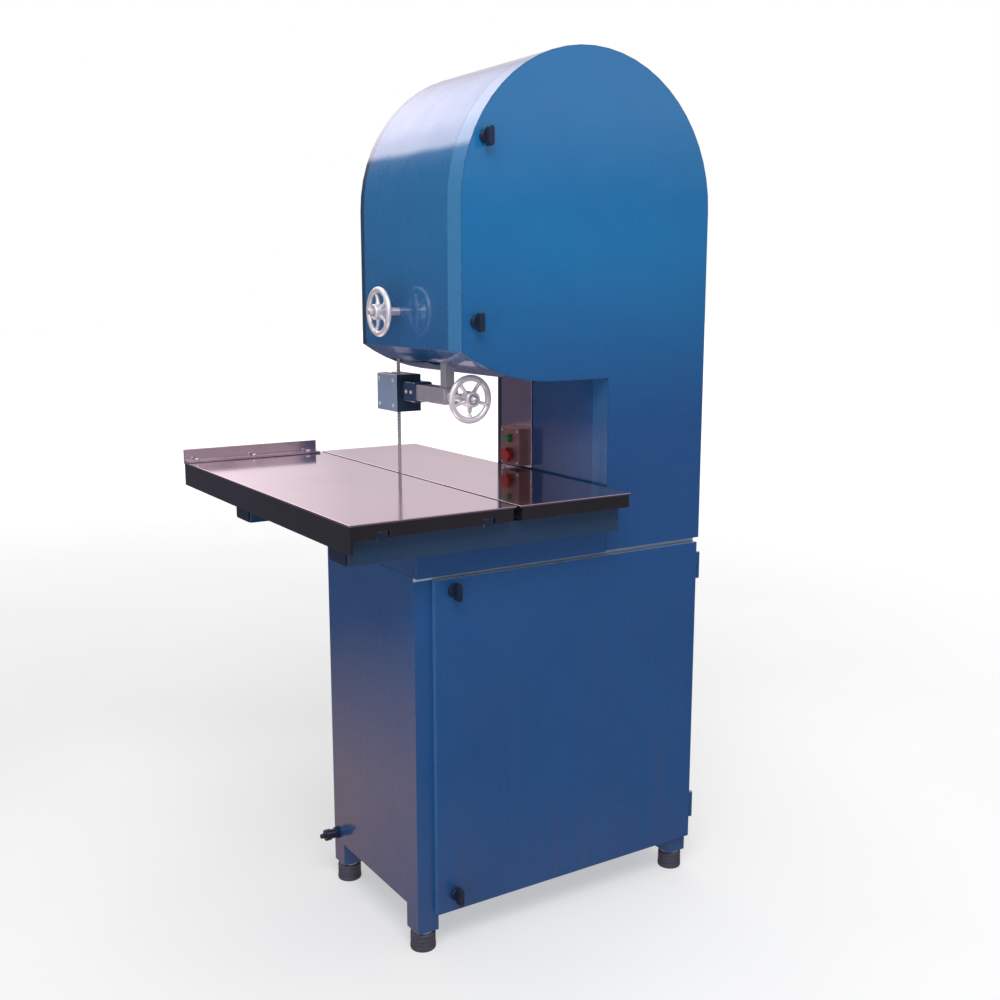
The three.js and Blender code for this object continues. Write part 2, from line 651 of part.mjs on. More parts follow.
// Handwheel and feed screw that draw the guide block along the arm.
function buildFeedHandwheel() {
  const wheel = handwheel(46, 63, 91, 0);
  const spindle = joined(
    bar('y', 8, 80, ARM.front - GAP, [0, 0]),
    bar('y', 5, 120, 235, [0, 0]));
  const mesh = meshOf('feed_handwheel', wheel.add(spindle), ALUMINIUM);
  mesh.position.set(POST.x, 0, ARM.z);
  machine.add(mesh);
}

// Lower guide under the table, with a slot the blade runs in.
function buildLowerBladeGuide() {
  addPiece('lower_blade_guide', cut(
    block([138, 182], [335, 388], [PEDESTAL.top + GAP, 822]),
    block([BLADE.x - 4, BLADE.x + 4], [352, 400], [790, 830])), STEEL);
}

// ---------------------------------------------------------------- table and carriage

function buildTableSupports() {
  const { left, right, bottom, top, width, overlap } = BEAM;
  addPiece('front_table_beam', block([left, right], [overlap - width, overlap], [bottom, top]), BLUE_PAINT);
  addPiece('rear_table_beam',
    block([left, right], [DEPTH - overlap, DEPTH - overlap + width], [bottom, top]), BLUE_PAINT);
  const names = ['left_slide_rail', 'right_slide_rail'];
  names.forEach((name, i) => {
    const x = RAIL.left[i];
    addPiece(name,
      block([x, x + RAIL.width], [LIMITS.front + 5, LIMITS.rear - 5], [RAIL.bottom, RAIL.top]),
      STAINLESS);
  });
}

// A rectangular skirt of plate on edge, open at top and bottom.
function skirt([x0, x1], [y0, y1], [z0, z1], wall) {
  return cut(
    block([x0, x1], [y0, y1], [z0, z1]),
    block([x0 + wall, x1 - wall], [y0 + wall, y1 - wall], [z0 - 5, z1 + 5]));
}

function buildFixedTable() {
  const underside = TABLE.top - TABLE.sheet;
  const left = BLADE.x + TABLE.groove / 2;
  addPiece('fixed_table_top',
    block([left, TABLE.right], [LIMITS.front, LIMITS.rear], [underside, TABLE.top]), STAINLESS);
  let frame = skirt([170, TABLE.right - 2], [LIMITS.front + 2, LIMITS.rear - 2],
    [SKIRT.bottom, underside - GAP], SKIRT.wall);
  const footings = [-50, 410];
  for (const y of footings) {
    frame = frame.add(block([172, TABLE.right - 4], [y, y + 40], [SKIRT.bottom + 2, 868]));
    for (const x of [172, 378]) {
      frame = frame.add(block([x, x + 32], [y, y + 40], [BEAM.top + GAP, SKIRT.bottom + 4]));
    }
  }
  addPiece('fixed_table_frame', frame, BLACK_PAINT);
}

function buildCarriage() {
  const underside = TABLE.top - TABLE.sheet;
  const right = BLADE.x - TABLE.groove / 2;
  addPiece('carriage_top',
    block([LIMITS.left, right], [LIMITS.front, LIMITS.rear], [underside, TABLE.top]), STAINLESS);
  let frame = skirt([LIMITS.left + 2, right - 6], [LIMITS.front + 2, LIMITS.rear - 2],
    [SKIRT.bottom, underside - GAP], SKIRT.wall);
  const side = LIMITS.left + 2;
  frame = frame.add(block([side, side + SKIRT.wall], [LIMITS.front + 2, LIMITS.rear - 2],
    [SKIRT.sideBottom, SKIRT.bottom + 5]));
  for (const x of RAIL.left) {
    frame = cut(frame, block([x - 2, x + RAIL.width + 2], [LIMITS.front, LIMITS.rear],
      [SKIRT.bottom - 5, RAIL.top + 1]));
    frame = frame.add(block([x - 4, x + RAIL.width + 4], [320, LIMITS.rear - 4],
      [RAIL.top + GAP, underside - GAP]));
  }
  addPiece('carriage_frame', frame, BLACK_PAINT);
  const { top, foot, sheet } = FENCE;
  const base = TABLE.top + GAP;
  const rear = LIMITS.rear - 2;
  const angle = polygon([
    [rear - foot, base], [rear, base], [rear, top], [rear - sheet, top],
    [rear - sheet, base + sheet], [rear - foot, base + sheet]]);
  addPiece('carriage_fence', plateAlongX(angle, FENCE.left, FENCE.right), STAINLESS);
}

// ---------------------------------------------------------------- controls on the column

function buildControls() {
  const plateFront = COLUMN.left - GAP - 2.6;
  addPiece('column_guard_plate',
    block([plateFront, COLUMN.left - GAP], [262, 380], [TABLE.top + 2, 1086]), STAINLESS);
  const { left, front, rear, bottom, top } = SWITCH_BOX;
  const middleY = (front + rear) / 2;
  const startZ = bottom + 58;
  const stopZ = bottom + 22;
  const back = plateFront - GAP;
  const box = cut(
    block([left, back], [front, rear], [bottom, top]),
    block([left + SHEET, back + 5], [front + SHEET, rear - SHEET], [bottom + SHEET, top - SHEET]),
    bar('x', 9.6, left - 5, left + 5, [middleY, startZ]),
    bar('x', 9.6, left - 5, left + 5, [middleY, stopZ]));
  addPiece('switch_box', box, CAST_IRON);
  addPiece('start_button', bar('x', 9, left - 9, left + 12, [middleY, startZ]), GREEN_PLASTIC);
  addPiece('stop_button', joined(
    bar('x', 16, left - 15, left - 5, [middleY, stopZ], 20),
    bar('x', 9, left - 6, left + 12, [middleY, stopZ])), RED_PLASTIC);
}

buildCabinet();
buildFeet();
buildUpperShell();
buildDoors();
buildLatches();
buildCableGland();
buildFramePlate();
buildLowerWheel();
buildUpperWheel();
buildTensionScrew();
buildBlade();
buildDrive();
buildPostBracket();
buildGuidePost();
buildPostDrive();
buildGuideArm();
buildGuideBlock();
buildFeedHandwheel();
buildLowerBladeGuide();
buildTableSupports();
buildFixedTable();
buildCarriage();
buildControls();

export default machine;
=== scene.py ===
"""Looks for the butcher's bone saw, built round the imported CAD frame.

Everything is in metres in the CAD's own frame. The CAD shells, doors and tables keep their
solids and get rounded edges and materials. The blade, handwheels, band wheels, feet, motor and
fasteners are modelled finer here and ride on the same bodies.
"""

import json
import math

import bmesh
import bpy
from mathutils import Matrix, Vector


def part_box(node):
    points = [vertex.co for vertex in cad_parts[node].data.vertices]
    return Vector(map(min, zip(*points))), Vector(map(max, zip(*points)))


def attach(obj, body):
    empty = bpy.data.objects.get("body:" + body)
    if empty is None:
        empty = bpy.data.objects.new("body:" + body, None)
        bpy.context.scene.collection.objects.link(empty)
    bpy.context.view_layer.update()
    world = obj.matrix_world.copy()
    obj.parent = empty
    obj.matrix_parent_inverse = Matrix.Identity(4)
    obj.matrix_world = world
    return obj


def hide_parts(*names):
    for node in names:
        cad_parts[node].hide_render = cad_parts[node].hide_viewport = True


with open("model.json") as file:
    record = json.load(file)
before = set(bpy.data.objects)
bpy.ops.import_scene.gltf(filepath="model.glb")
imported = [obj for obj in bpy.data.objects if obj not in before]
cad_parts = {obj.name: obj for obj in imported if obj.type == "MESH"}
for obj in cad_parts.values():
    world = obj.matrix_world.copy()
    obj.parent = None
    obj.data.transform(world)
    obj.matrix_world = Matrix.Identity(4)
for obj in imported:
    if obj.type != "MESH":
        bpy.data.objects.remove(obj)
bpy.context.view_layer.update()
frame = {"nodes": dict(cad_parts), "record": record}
MM = 0.001
TURN = 2 * math.pi


# ---------------------------------------------------------------- node helpers

def new_shader(name):
    """A material with an empty look: returns it, its node tree and its principled shader."""
    material = bpy.data.materials.new(name)
    material.use_nodes = True
    tree = material.node_tree
    return material, tree, tree.nodes["Principled BSDF"]


def node(tree, kind, settings=None, sockets=None):
    """Adds a node; a socket value is either a constant or another node's output."""
    made = tree.nodes.new(kind)
    for key, value in (settings or {}).items():
        setattr(made, key, value)
    for key, value in (sockets or {}).items():
        if isinstance(value, bpy.types.NodeSocket):
            tree.links.new(value, made.inputs[key])
        else:
            made.inputs[key].default_value = value
    return made


def object_space(tree, stretch=(1, 1, 1)):
    """Coordinates in metres that stay with the piece, optionally stretched."""
    coords = node(tree, "ShaderNodeTexCoord")
    mapping = node(tree, "ShaderNodeMapping", sockets={
        "Vector": coords.outputs["Object"], "Scale": stretch})
    return mapping.outputs["Vector"]


def noise(tree, vector, scale, detail=4.0, roughness=0.5):
    """Soft random values around 0.5, with scale in cycles per metre."""
    made = node(tree, "ShaderNodeTexNoise", sockets={
        "Vector": vector, "Scale": scale, "Detail": detail, "Roughness": roughness})
    return made.outputs["Fac"]


def remap(tree, value, from_low, from_high, to_low, to_high):
    """A straight ramp between two values, held level outside them."""
    made = node(tree, "ShaderNodeMapRange", sockets={
        "Value": value, "From Min": from_low, "From Max": from_high,
        "To Min": to_low, "To Max": to_high})
    return made.outputs["Result"]


def calculate(tree, operation, *values):
    """A math node over constants and other nodes' outputs."""
    made = node(tree, "ShaderNodeMath", {"operation": operation}, dict(enumerate(values)))
    return made.outputs["Value"]


def multiply(tree, a, b):
    return calculate(tree, "MULTIPLY", a, b)


def blend_colour(tree, factor, a, b):
    """Goes from colour a to colour b as the factor goes from 0 to 1."""
    made = node(tree, "ShaderNodeMix", {"data_type": "RGBA"})
    inputs = [s for s in made.inputs if s.enabled]
    for socket, value in zip(inputs, (factor, a, b)):
        if isinstance(value, bpy.types.NodeSocket):
            tree.links.new(value, socket)
        else:
            socket.default_value = value
    return next(s for s in made.outputs if s.enabled)


def rgb(red, green, blue, scale=1.0):
    return (red * scale, green * scale, blue * scale, 1.0)


def height_bump(tree, height, strength, distance, below=None):
    """The normal of a relief up to distance deep, laid over the normal below."""
    sockets = {"Height": height, "Strength": strength, "Distance": distance}
    if below is not None:
        sockets["Normal"] = below
    return node(tree, "ShaderNodeBump", sockets=sockets).outputs["Normal"]


def edge_mask(tree, radius):
    """1 near a sharp edge and 0 on open faces, found from a rounded normal."""
    rounded = node(tree, "ShaderNodeBevel", {"samples": 4}, {"Radius": radius})
    geometry = node(tree, "ShaderNodeNewGeometry")
    dot = node(tree, "ShaderNodeVectorMath", {"operation": "DOT_PRODUCT"}, {
        0: rounded.outputs["Normal"], 1: geometry.outputs["Normal"]})
    return remap(tree, dot.outputs["Value"], 0.995, 0.9, 0.0, 1.0)


# ---------------------------------------------------------------- materials

def enamel(name, colour, shade, gloss=0.24, wear=0.45, fade=None, left=None, top=None,
           seal_line=None, rim_shadow=0.0, seam_from=None, column_left=1.0):
    """Sprayed gloss enamel on sheet: orange peel, soft dents, grime and painted shade low down, chipped
    edges.

    fade is a colour that takes over down the column: painted shade, the head's blue darkened
    towards the bottom. left and top are the colours of faces that look that way: painted light
    and shade, set by how the light falls on a face. seal_line darkens everything behind that
    depth: a painted shadow in the gap at a door's back edge, drawn as its rubber seal.
    rim_shadow darkens the turned edge of a door's face. seam_from is the height above which the
    cabinet's front and back carry a pale strip in the joint: a painted highlight on a shaded
    flange, drawn as a sealing strip. column_left is how much of left's colour remains below the
    head.
    """
    material, tree, surface = new_shader(name)
    place = object_space(tree)
    axes = node(tree, "ShaderNodeSeparateXYZ", sockets={0: place})
    mottle = remap(tree, noise(tree, place, 2.6, 5, 0.6), 0.3, 0.7, 0.0, 1.0)
    body = blend_colour(tree, mottle, rgb(*shade), rgb(*colour))
    # painted shade: the head's blue darkens towards the bottom of the column, where less light falls
    if fade:
        lower = remap(tree, axes.outputs["Z"], *COLUMN_SHADE_HEIGHTS, 0.0, 1.0)
        body = blend_colour(tree, lower, body, rgb(*fade))
    coords = node(tree, "ShaderNodeTexCoord")
    facing = node(tree, "ShaderNodeSeparateXYZ", sockets={0: coords.outputs["Normal"]})
    # painted light and shade: faces turned to the left take their own colour, lighter or darker by how
    # the light falls on that side
    if left:
        leftward = remap(tree, facing.outputs["X"], -0.35, -0.9, 0.0, 0.75)
        if column_left < 1.0:
            above = remap(tree, axes.outputs["Z"], *HEAD_BOTTOM_HEIGHTS, column_left, 1.0)
            leftward = multiply(tree, leftward, above)
        body = blend_colour(tree, leftward, body, rgb(*left))
    # painted light: faces turned upwards take a lighter colour, as if lit from above
    if top:
        upward = remap(tree, facing.outputs["Z"], 0.8, 0.98, 0.0, 0.9)
        body = blend_colour(tree, upward, body, rgb(*top))
    # painted highlight: a pale strip high on the cabinet's front and back at the joint, where the flange
    # lies in shadow, drawn as a sealing strip
    if seam_from is not None:
        off_middle = calculate(tree, "SUBTRACT", axes.outputs["Y"], CABINET_MIDDLE_Y)
        depth = calculate(tree, "ABSOLUTE", off_middle)
        outer = remap(tree, depth, SEAM_FROM_MIDDLE, SEAM_FROM_MIDDLE + MM, 0.0, 1.0)
        high = remap(tree, axes.outputs["Z"], seam_from, seam_from + 0.3 * MM, 0.0, 1.0)
        body = blend_colour(tree, multiply(tree, outer, high), body, rgb(0.36, 0.45, 0.58))
    if rim_shadow:
        shadow = multiply(tree, edge_mask(tree, 4 * MM), rim_shadow)
        body = blend_colour(tree, shadow, body, rgb(*shade, 0.25))
    # painted shadow: a near-black band behind the given depth, for the gap where a door meets the shell,
    # drawn as a rubber seal
    if seal_line is not None:
        behind = remap(tree, axes.outputs["Y"], seal_line, seal_line + 0.4 * MM, 0.0, 1.0)
        body = blend_colour(tree, behind, body, rgb(0.004, 0.006, 0.012))
    # grey streaks growing towards the bottom: grime, and also painted shade for the dimmer light low
    # down
    low = remap(tree, axes.outputs["Z"], *GRIME_AND_SHADE_HEIGHTS, 0.0, 0.22)
    streak_space = object_space(tree, (26, 26, 1.6))
    streaks = remap(tree, noise(tree, streak_space, 1.0, 6, 0.65), 0.42, 0.75, 0.0, 1.0)
    dirt_and_shade = blend_colour(tree, multiply(tree, low, streaks), body,
                         rgb(0.07, 0.065, 0.08))
    fine = noise(tree, place, 90, 5, 0.7)
    chips = multiply(tree, edge_mask(tree, 1.2 * MM),
                       remap(tree, fine, 0.5, 0.62, 0.0, wear))
    worn = blend_colour(tree, chips, dirt_and_shade, rgb(0.16, 0.26, 0.4))
    tree.links.new(worn, surface.inputs["Base Color"])
    scuffs = remap(tree, noise(tree, place, 14, 6, 0.6), 0.35, 0.75, gloss, gloss + 0.16)
    tree.links.new(scuffs, surface.inputs["Roughness"])
    surface.inputs["Specular IOR Level"].default_value = 0.12
    surface.inputs["Coat Weight"].default_value = 1.0
    surface.inputs["Coat Roughness"].default_value = 0.07
    dents = height_bump(tree, noise(tree, place, 4.5, 2), 0.1, 12 * MM)
    peel = height_bump(tree, noise(tree, place, 420, 2), 0.04, 0.3 * MM, dents)
    tree.links.new(peel, surface.inputs["Normal"])
    tree.links.new(dents, surface.inputs["Coat Normal"])
    return material


def grained_steel(name, colour, stretch, roughness, bump=0.12, metallic=1.0):
    """Polished or brushed metal whose grain runs along the least stretched axis."""
    material, tree, surface = new_shader(name)
    grain = noise(tree, object_space(tree, stretch), 1.0, 8, 0.7)
    place = object_space(tree)
    smears = noise(tree, place, 5, 6, 0.62)
    tone = remap(tree, grain, 0.3, 0.7, 0.0, 1.0)
    base = blend_colour(tree, tone, rgb(*colour, 0.9), rgb(*colour))
    stained = blend_colour(tree, remap(tree, smears, 0.5, 0.8, 0.0, 0.35), base,
                           rgb(*colour, 0.72))
    tree.links.new(stained, surface.inputs["Base Color"])
    surface.inputs["Metallic"].default_value = metallic
    rough = remap(tree, grain, 0.25, 0.75, roughness * 0.75, roughness * 1.3)
    tree.links.new(rough, surface.inputs["Roughness"])
    surface.inputs["Anisotropic"].default_value = 0.35
    tree.links.new(height_bump(tree, grain, bump, 0.25 * MM), surface.inputs["Normal"])
    return material


def cast_metal(name, colour, roughness, metallic, grit=260, relief=0.35):
    """Cast metal with a sandy surface, uneven patches and edges rubbed bright."""
    material, tree, surface = new_shader(name)
    place = object_space(tree)
    patches = remap(tree, noise(tree, place, 22, 5, 0.6), 0.3, 0.7, 0.0, 1.0)
    base = blend_colour(tree, patches, rgb(*colour, 0.78), rgb(*colour))
    bright = blend_colour(tree, multiply(tree, edge_mask(tree, 1.2 * MM), 0.5),
                          base, rgb(0.7, 0.7, 0.72))
    tree.links.new(bright, surface.inputs["Base Color"])
    surface.inputs["Metallic"].default_value = metallic
    rough = remap(tree, patches, 0.0, 1.0, roughness * 1.2, roughness * 0.85)
    tree.links.new(rough, surface.inputs["Roughness"])
    tree.links.new(height_bump(tree, noise(tree, place, grit, 4), relief, 0.4 * MM),
                   surface.inputs["Normal"])
    return material


def moulded(name, colour, roughness, texture=600, relief=0.15):
    """Moulded rubber or plastic with a fine spark-eroded texture and handling marks."""
    material, tree, surface = new_shader(name)
    place = object_space(tree)
    marks = remap(tree, noise(tree, place, 30, 5, 0.6), 0.35, 0.7, 0.0, 1.0)
    base = blend_colour(tree, marks, rgb(*colour, 0.85), rgb(*colour, 1.1))
    tree.links.new(base, surface.inputs["Base Color"])
    rough = remap(tree, marks, 0.0, 1.0, roughness * 0.85, roughness * 1.15)
    tree.links.new(rough, surface.inputs["Roughness"])
    tree.links.new(height_bump(tree, noise(tree, place, texture, 2), relief, 0.2 * MM),
                   surface.inputs["Normal"])
    return material


HEAD_BLUE, HEAD_SHADE = (0.01, 0.138, 0.335), (0.009, 0.118, 0.3)
# the head's blue in painted shade, as the column looks lower down
SHADED_COLUMN_BLUE = (0.013, 0.066, 0.205)
# painted shade: the cabinet's pair is the head's blue paint made darker, as the lower body gets less
# light
SHADED_CABINET_BLUE, SHADED_CABINET_MOTTLE = (0.013, 0.074, 0.225), (0.012, 0.064, 0.195)
COLUMN_SHADE_HEIGHTS = (1.34, 1.0)       # the head's blue turns into the column's between these
HEAD_BOTTOM_HEIGHTS = (1.1, 1.16)
# the streaks of grime and painted shade grow from nothing to their most between these heights
GRIME_AND_SHADE_HEIGHTS = (0.75, 0.1)             # grime runs from nothing to its most between these
SEAL_SHADOW_WIDTH = 2.6 * MM
SEAM_FROM_MIDDLE = 0.184                # the strip begins this far from the cabinet's middle
CABINET_MIDDLE_Y = -0.14
DOOR_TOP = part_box("front_lower_door")[1][2]
LOOKS = {
    "blue_paint": enamel("head_enamel", HEAD_BLUE, HEAD_SHADE, fade=SHADED_COLUMN_BLUE),
    "navy_paint": enamel("navy_enamel", (0.022, 0.05, 0.12), (0.016, 0.036, 0.085), 0.3),
    "black_paint": enamel("black_enamel", (0.016, 0.014, 0.017), (0.011, 0.01, 0.012), 0.34, 0.4),
    # painted reflection: the stainless takes a pink tint from the room it reflects
    "stainless": grained_steel("polished_stainless", (0.68, 0.57, 0.64), (240, 7, 240), 0.1, 0.05),
    "steel": grained_steel("bright_steel", (0.6, 0.57, 0.64), (90, 90, 30), 0.34, metallic=0.62),
    "cast_iron": cast_metal("primed_cast_iron", (0.2, 0.21, 0.22), 0.55, 0.55),
    "aluminium": cast_metal("polished_aluminium", (0.82, 0.78, 0.81), 0.32, 0.45, 180, 0.1),
    "rubber": moulded("moulded_rubber", (0.05, 0.053, 0.085), 0.6, 320, 0.3),
    "black_plastic": moulded("black_plastic", (0.007, 0.015, 0.04), 0.38),
    "red_plastic": moulded("red_plastic", (0.36, 0.012, 0.014), 0.28, 700, 0.06),
    "green_plastic": moulded("green_plastic", (0.012, 0.16, 0.05), 0.28, 700, 0.06),
}
NODE_LOOKS = {
    # the cabinet in painted shade, with a painted highlight along the joint at the lower door's top
    "cabinet_shell": enamel("cabinet_enamel", SHADED_CABINET_BLUE, SHADED_CABINET_MOTTLE, seam_from=DOOR_TOP),
    "front_table_beam": enamel("beam_enamel", (0.018, 0.046, 0.1), (0.014, 0.036, 0.08)),
    # painted light and shade on the front upper door: a lighter left side as a painted reflection,
    # darker paint down the column, a painted shadow line at its back edge and painted shadow on its rim
    "front_upper_door": enamel("front_upper_door_enamel", HEAD_BLUE, HEAD_SHADE,
                               fade=SHADED_COLUMN_BLUE, left=(0.045, 0.21, 0.43), column_left=0.35,
                               seal_line=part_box("front_upper_door")[1][1] - SEAL_SHADOW_WIDTH,
                               rim_shadow=0.7),
    # painted shade: the rear upper door's left side is near black, and its blue darkens down the column
    "rear_upper_door": enamel("rear_upper_door_enamel", HEAD_BLUE, HEAD_SHADE,
                              fade=SHADED_COLUMN_BLUE, left=(0.01, 0.012, 0.02)),
    # painted light: the front lower door's left side and top face are lighter, as lit from the left and
    # above
    "front_lower_door": enamel("front_lower_door_enamel", SHADED_CABINET_BLUE, SHADED_CABINET_MOTTLE,
                               left=(0.06, 0.18, 0.38), top=(0.2, 0.34, 0.56)),
    # painted light: the guide block's left face is lighter, as lit from the left
    "guide_block": enamel("guide_block_enamel", (0.014, 0.036, 0.065), (0.01, 0.026, 0.05),
                          0.3, left=(0.3, 0.4, 0.56)),
    # painted reflection: the switch box's reddish brown copies a reflection of the room on its metal
    "switch_box": cast_metal("switch_box_reflection_brown", (0.27, 0.135, 0.125), 0.4, 0.35, 300, 0.25),
}
NODE_LOOKS["rear_table_beam"] = NODE_LOOKS["front_table_beam"]
NODE_LOOKS["rear_lower_door"] = enamel("rear_lower_door_enamel", SHADED_CABINET_BLUE, SHADED_CABINET_MOTTLE)


# ---------------------------------------------------------------- mesh helpers

def add_object(name, data):
    made = bpy.data.objects.new(name, data)
    bpy.context.scene.collection.objects.link(made)
    return made


def box_of(name):
    """The low and high corners of a CAD node's box."""
    low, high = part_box(name)
    return Vector(low), Vector(high)


def circle(radius, count):
    return [(radius * math.cos(TURN * k / count), radius * math.sin(TURN * k / count))
            for k in range(count)]


class Shape:
    """Collects closed shells into one mesh."""

    def __init__(self):
        self.verts = []
        self.faces = []

    def add(self, verts, faces, matrix=None):
        start = len(self.verts)
        for v in verts:
            self.verts.append(matrix @ Vector(v) if matrix else Vector(v))
        self.faces.extend([tuple(i + start for i in face) for face in faces])
        return self

    def revolve(self, profile, matrix, segments=48):
        """Turns a closed (radius, height) profile about the local z axis."""
        verts, faces = [], []
        count = len(profile)
        for i in range(segments):
            angle = TURN * i / segments
            for radius, height in profile:
                verts.append((radius * math.cos(angle), radius * math.sin(angle), height))
        for i in range(segments):
            for j in range(count):
                a, b = i * count + j, i * count + (j + 1) % count
                c = ((i + 1) % segments) * count + (j + 1) % count
                d = ((i + 1) % segments) * count + j
                faces.append((a, d, c, b))
        return self.add(verts, faces, matrix)

    def box(self, low, high, matrix=None):
        """A block between two corners."""
        xs, ys, zs = zip(low, high)
        verts = [(x, y, z) for x in xs for y in ys for z in zs]
        faces = [(0, 1, 3, 2), (4, 6, 7, 5), (0, 4, 5, 1), (2, 3, 7, 6), (0, 2, 6, 4), (1, 5, 7, 3)]
        return self.add(verts, faces, matrix)

    def prism(self, outline, low, high, matrix=None):
        """Extrudes an (x, y) outline along z."""
        count = len(outline)
        verts = [(x, y, z) for z in (low, high) for x, y in outline]
        faces = [tuple(reversed(range(count))), tuple(range(count, 2 * count))]
        for i in range(count):
            j = (i + 1) % count
            faces.append((i, j, j + count, i + count))
        return self.add(verts, faces, matrix)

    def sweep(self, path, radii, sides=14):
        """A round bar through path points, with a radius pair (across, thick) at each one."""
        verts, faces = [], []
        for k, point in enumerate(path):
            ahead = path[min(k + 1, len(path) - 1)] - path[max(k - 1, 0)]
            turn = ahead.to_track_quat("Z", "Y").to_matrix()
            across, thick = radii[k]
            for i in range(sides):
                angle = TURN * i / sides
                offset = Vector((across * math.cos(angle), thick * math.sin(angle), 0))
                verts.append(point + turn @ offset)
        for k in range(len(path) - 1):
            for i in range(sides):
                j = (i + 1) % sides
                a, b = k * sides + i, k * sides + j
                faces.append((a, b, b + sides, a + sides))
        faces.append(tuple(reversed(range(sides))))
        faces.append(tuple(range((len(path) - 1) * sides, len(path) * sides)))
        return self.add(verts, faces)

    def mesh(self, name):
        mesh = bpy.data.meshes.new(name)
        mesh.from_pydata([tuple(v) for v in self.verts], [], self.faces)
        return mesh

    def finish(self, name, slot, body, replaced=(), bevel=0.0, smooth_angle=35):
        """Makes the piece: its look by slot, the body it rides on and the CAD nodes it replaces."""
        mesh = self.mesh(name)
        work = bmesh.new()
        work.from_mesh(mesh)
        bmesh.ops.recalc_face_normals(work, faces=work.faces)
        work.to_mesh(mesh)
        work.free()
        piece = add_object(name, mesh)
        mesh.materials.append(LOOKS[slot])
        round_edges(piece, bevel, smooth_angle, False)
        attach(piece, body)
        if replaced:
            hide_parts(*replaced)
        return piece


def round_edges(piece, width, angle, merge_flats):
    """Smooth shading with a narrow rounded edge, so that every corner catches light.

    merge_flats first joins the facets that lie in one plane.
    """
    for face in piece.data.polygons:
        face.use_smooth = True
    if merge_flats:
        flats = piece.modifiers.new("merge_flats", "DECIMATE")
        flats.decimate_type = "DISSOLVE"
        flats.angle_limit = math.radians(0.5)
    if width > 0:
        bevel = piece.modifiers.new("round_edges", "BEVEL")
        bevel.width = width
        bevel.segments = 2
        bevel.limit_method = "ANGLE"
        bevel.angle_limit = math.radians(angle)
        bevel.miter_outer = "MITER_ARC"
        bevel.harden_normals = False
    normals = piece.modifiers.new("even_normals", "WEIGHTED_NORMAL")
    normals.mode = "FACE_AREA"
    normals.weight = 100
    normals.keep_sharp = False


def centre(name):
    low, high = box_of(name)
    return (low + high) / 2


AXIS_Y = Matrix.Rotation(-math.pi / 2, 4, "X")      # local z to frame +y
AXIS_X = Matrix.Rotation(math.pi / 2, 4, "Y")       # local z to frame +x


def along(axis, point):
    """Matrix that puts a revolved shape's local z along a frame axis, through point."""
    turn = {"x": AXIS_X, "y": AXIS_Y, "z": Matrix.Identity(4)}[axis]
    return Matrix.Translation(Vector(point)) @ turn


# ---------------------------------------------------------------- carried-over CAD nodes

EDGE_WIDTH = {                          # in millimetres, 0.7 on the nodes not named here
    "rear_upper_door": 1.3, "front_lower_door": 1.3, "rear_lower_door": 1.3,
    "front_table_beam": 2.5, "rear_table_beam": 2.5, "guide_block": 1.6, "guide_arm": 1.5,
    "carriage_top": 1.0, "fixed_table_top": 1.0,
}
# these have steps of 0.4 mm, where a wider rounding would run into itself
FINE_EDGE_WIDTH = {
    "upper_shell": 0.18, "cabinet_shell": 0.18, "front_upper_door": 0.18, "carriage_frame": 0.25,
}


def dress_cad_nodes():
    """Gives each CAD node its look, its facets joined and its edges rounded."""
    slots = {row["node"]: row["material_slot"] for row in frame["record"]["subparts"]}
    for name, piece in frame["nodes"].items():
        piece.data.materials.clear()
        piece.data.materials.append(NODE_LOOKS.get(name) or LOOKS[slots[name]])
        join = piece.modifiers.new("join_facets", "WELD")
        join.merge_threshold = 0.01 * MM
        width = FINE_EDGE_WIDTH.get(name) or EDGE_WIDTH.get(name, 0.7)
        round_edges(piece, width * MM, 42, True)
        piece.modifiers["round_edges"].use_clamp_overlap = name not in FINE_EDGE_WIDTH


# ---------------------------------------------------------------- blade

def build_blade():
    """The endless band with raker teeth along its operator side."""
    low, high = box_of("saw_blade")
    thickness = 0.8 * MM
    radius = (high.x - low.x) / 2 - thickness / 2
    mid_x = (low.x + high.x) / 2
    top_z, bottom_z = high.z - radius - thickness / 2, low.z + radius + thickness / 2
    straight = top_z - bottom_z
    arc = math.pi * radius
    length = 2 * (straight + arc)
    teeth = int(length / (6.5 * MM))
    back, root, tip = low.y, high.y - 3.6 * MM, high.y

    def round_wheel(angle, wheel_z):
        across, up = math.cos(angle), math.sin(angle)
        return mid_x + radius * across, wheel_z + radius * up, across, up

    def on_path(s):
        """Point and outward normal at distance s: up the right run, round and down the left."""
        s %= length
        if s < straight:
            return mid_x + radius, bottom_z + s, 1.0, 0.0
        s -= straight
        if s < arc:
            return round_wheel(s / radius, top_z)
        s -= arc
        if s < straight:
            return mid_x - radius, top_z - s, -1.0, 0.0
        return round_wheel(math.pi + (s - straight) / radius, bottom_z)

    pitch = length / teeth
    # along the pitch, height above the root line, sideways set
    tooth = [(0.0, 0.55, 0), (0.28, 0.0, 0), (0.62, 0.1, 0), (0.9, 1.0, 1)]
    verts, faces = [], []
    for i in range(teeth):
        side_set = (0.0, 0.35, -0.35)[i % 3] * MM
        for portion, rise, has_set in tooth:
            x, z, nx, nz = on_path((i + portion) * pitch)
            y = root + (tip - root) * rise
            for side in (-1, 1):
                out = side * thickness / 2
                verts.append((x + nx * out, back, z + nz * out))
                out += has_set * side_set
                verts.append((x + nx * out, y, z + nz * out))
    count = teeth * len(tooth)
    for k in range(count):
        a, b = 4 * k, 4 * ((k + 1) % count)
        faces.append((a, a + 1, b + 1, b))
        faces.append((a + 2, b + 2, b + 3, a + 3))
        faces.append((a, b, b + 2, a + 2))
        faces.append((a + 1, a + 3, b + 3, b + 1))
    Shape().add(verts, faces).finish("toothed_blade", "steel", "root", ["saw_blade"])


# ---------------------------------------------------------------- handwheels

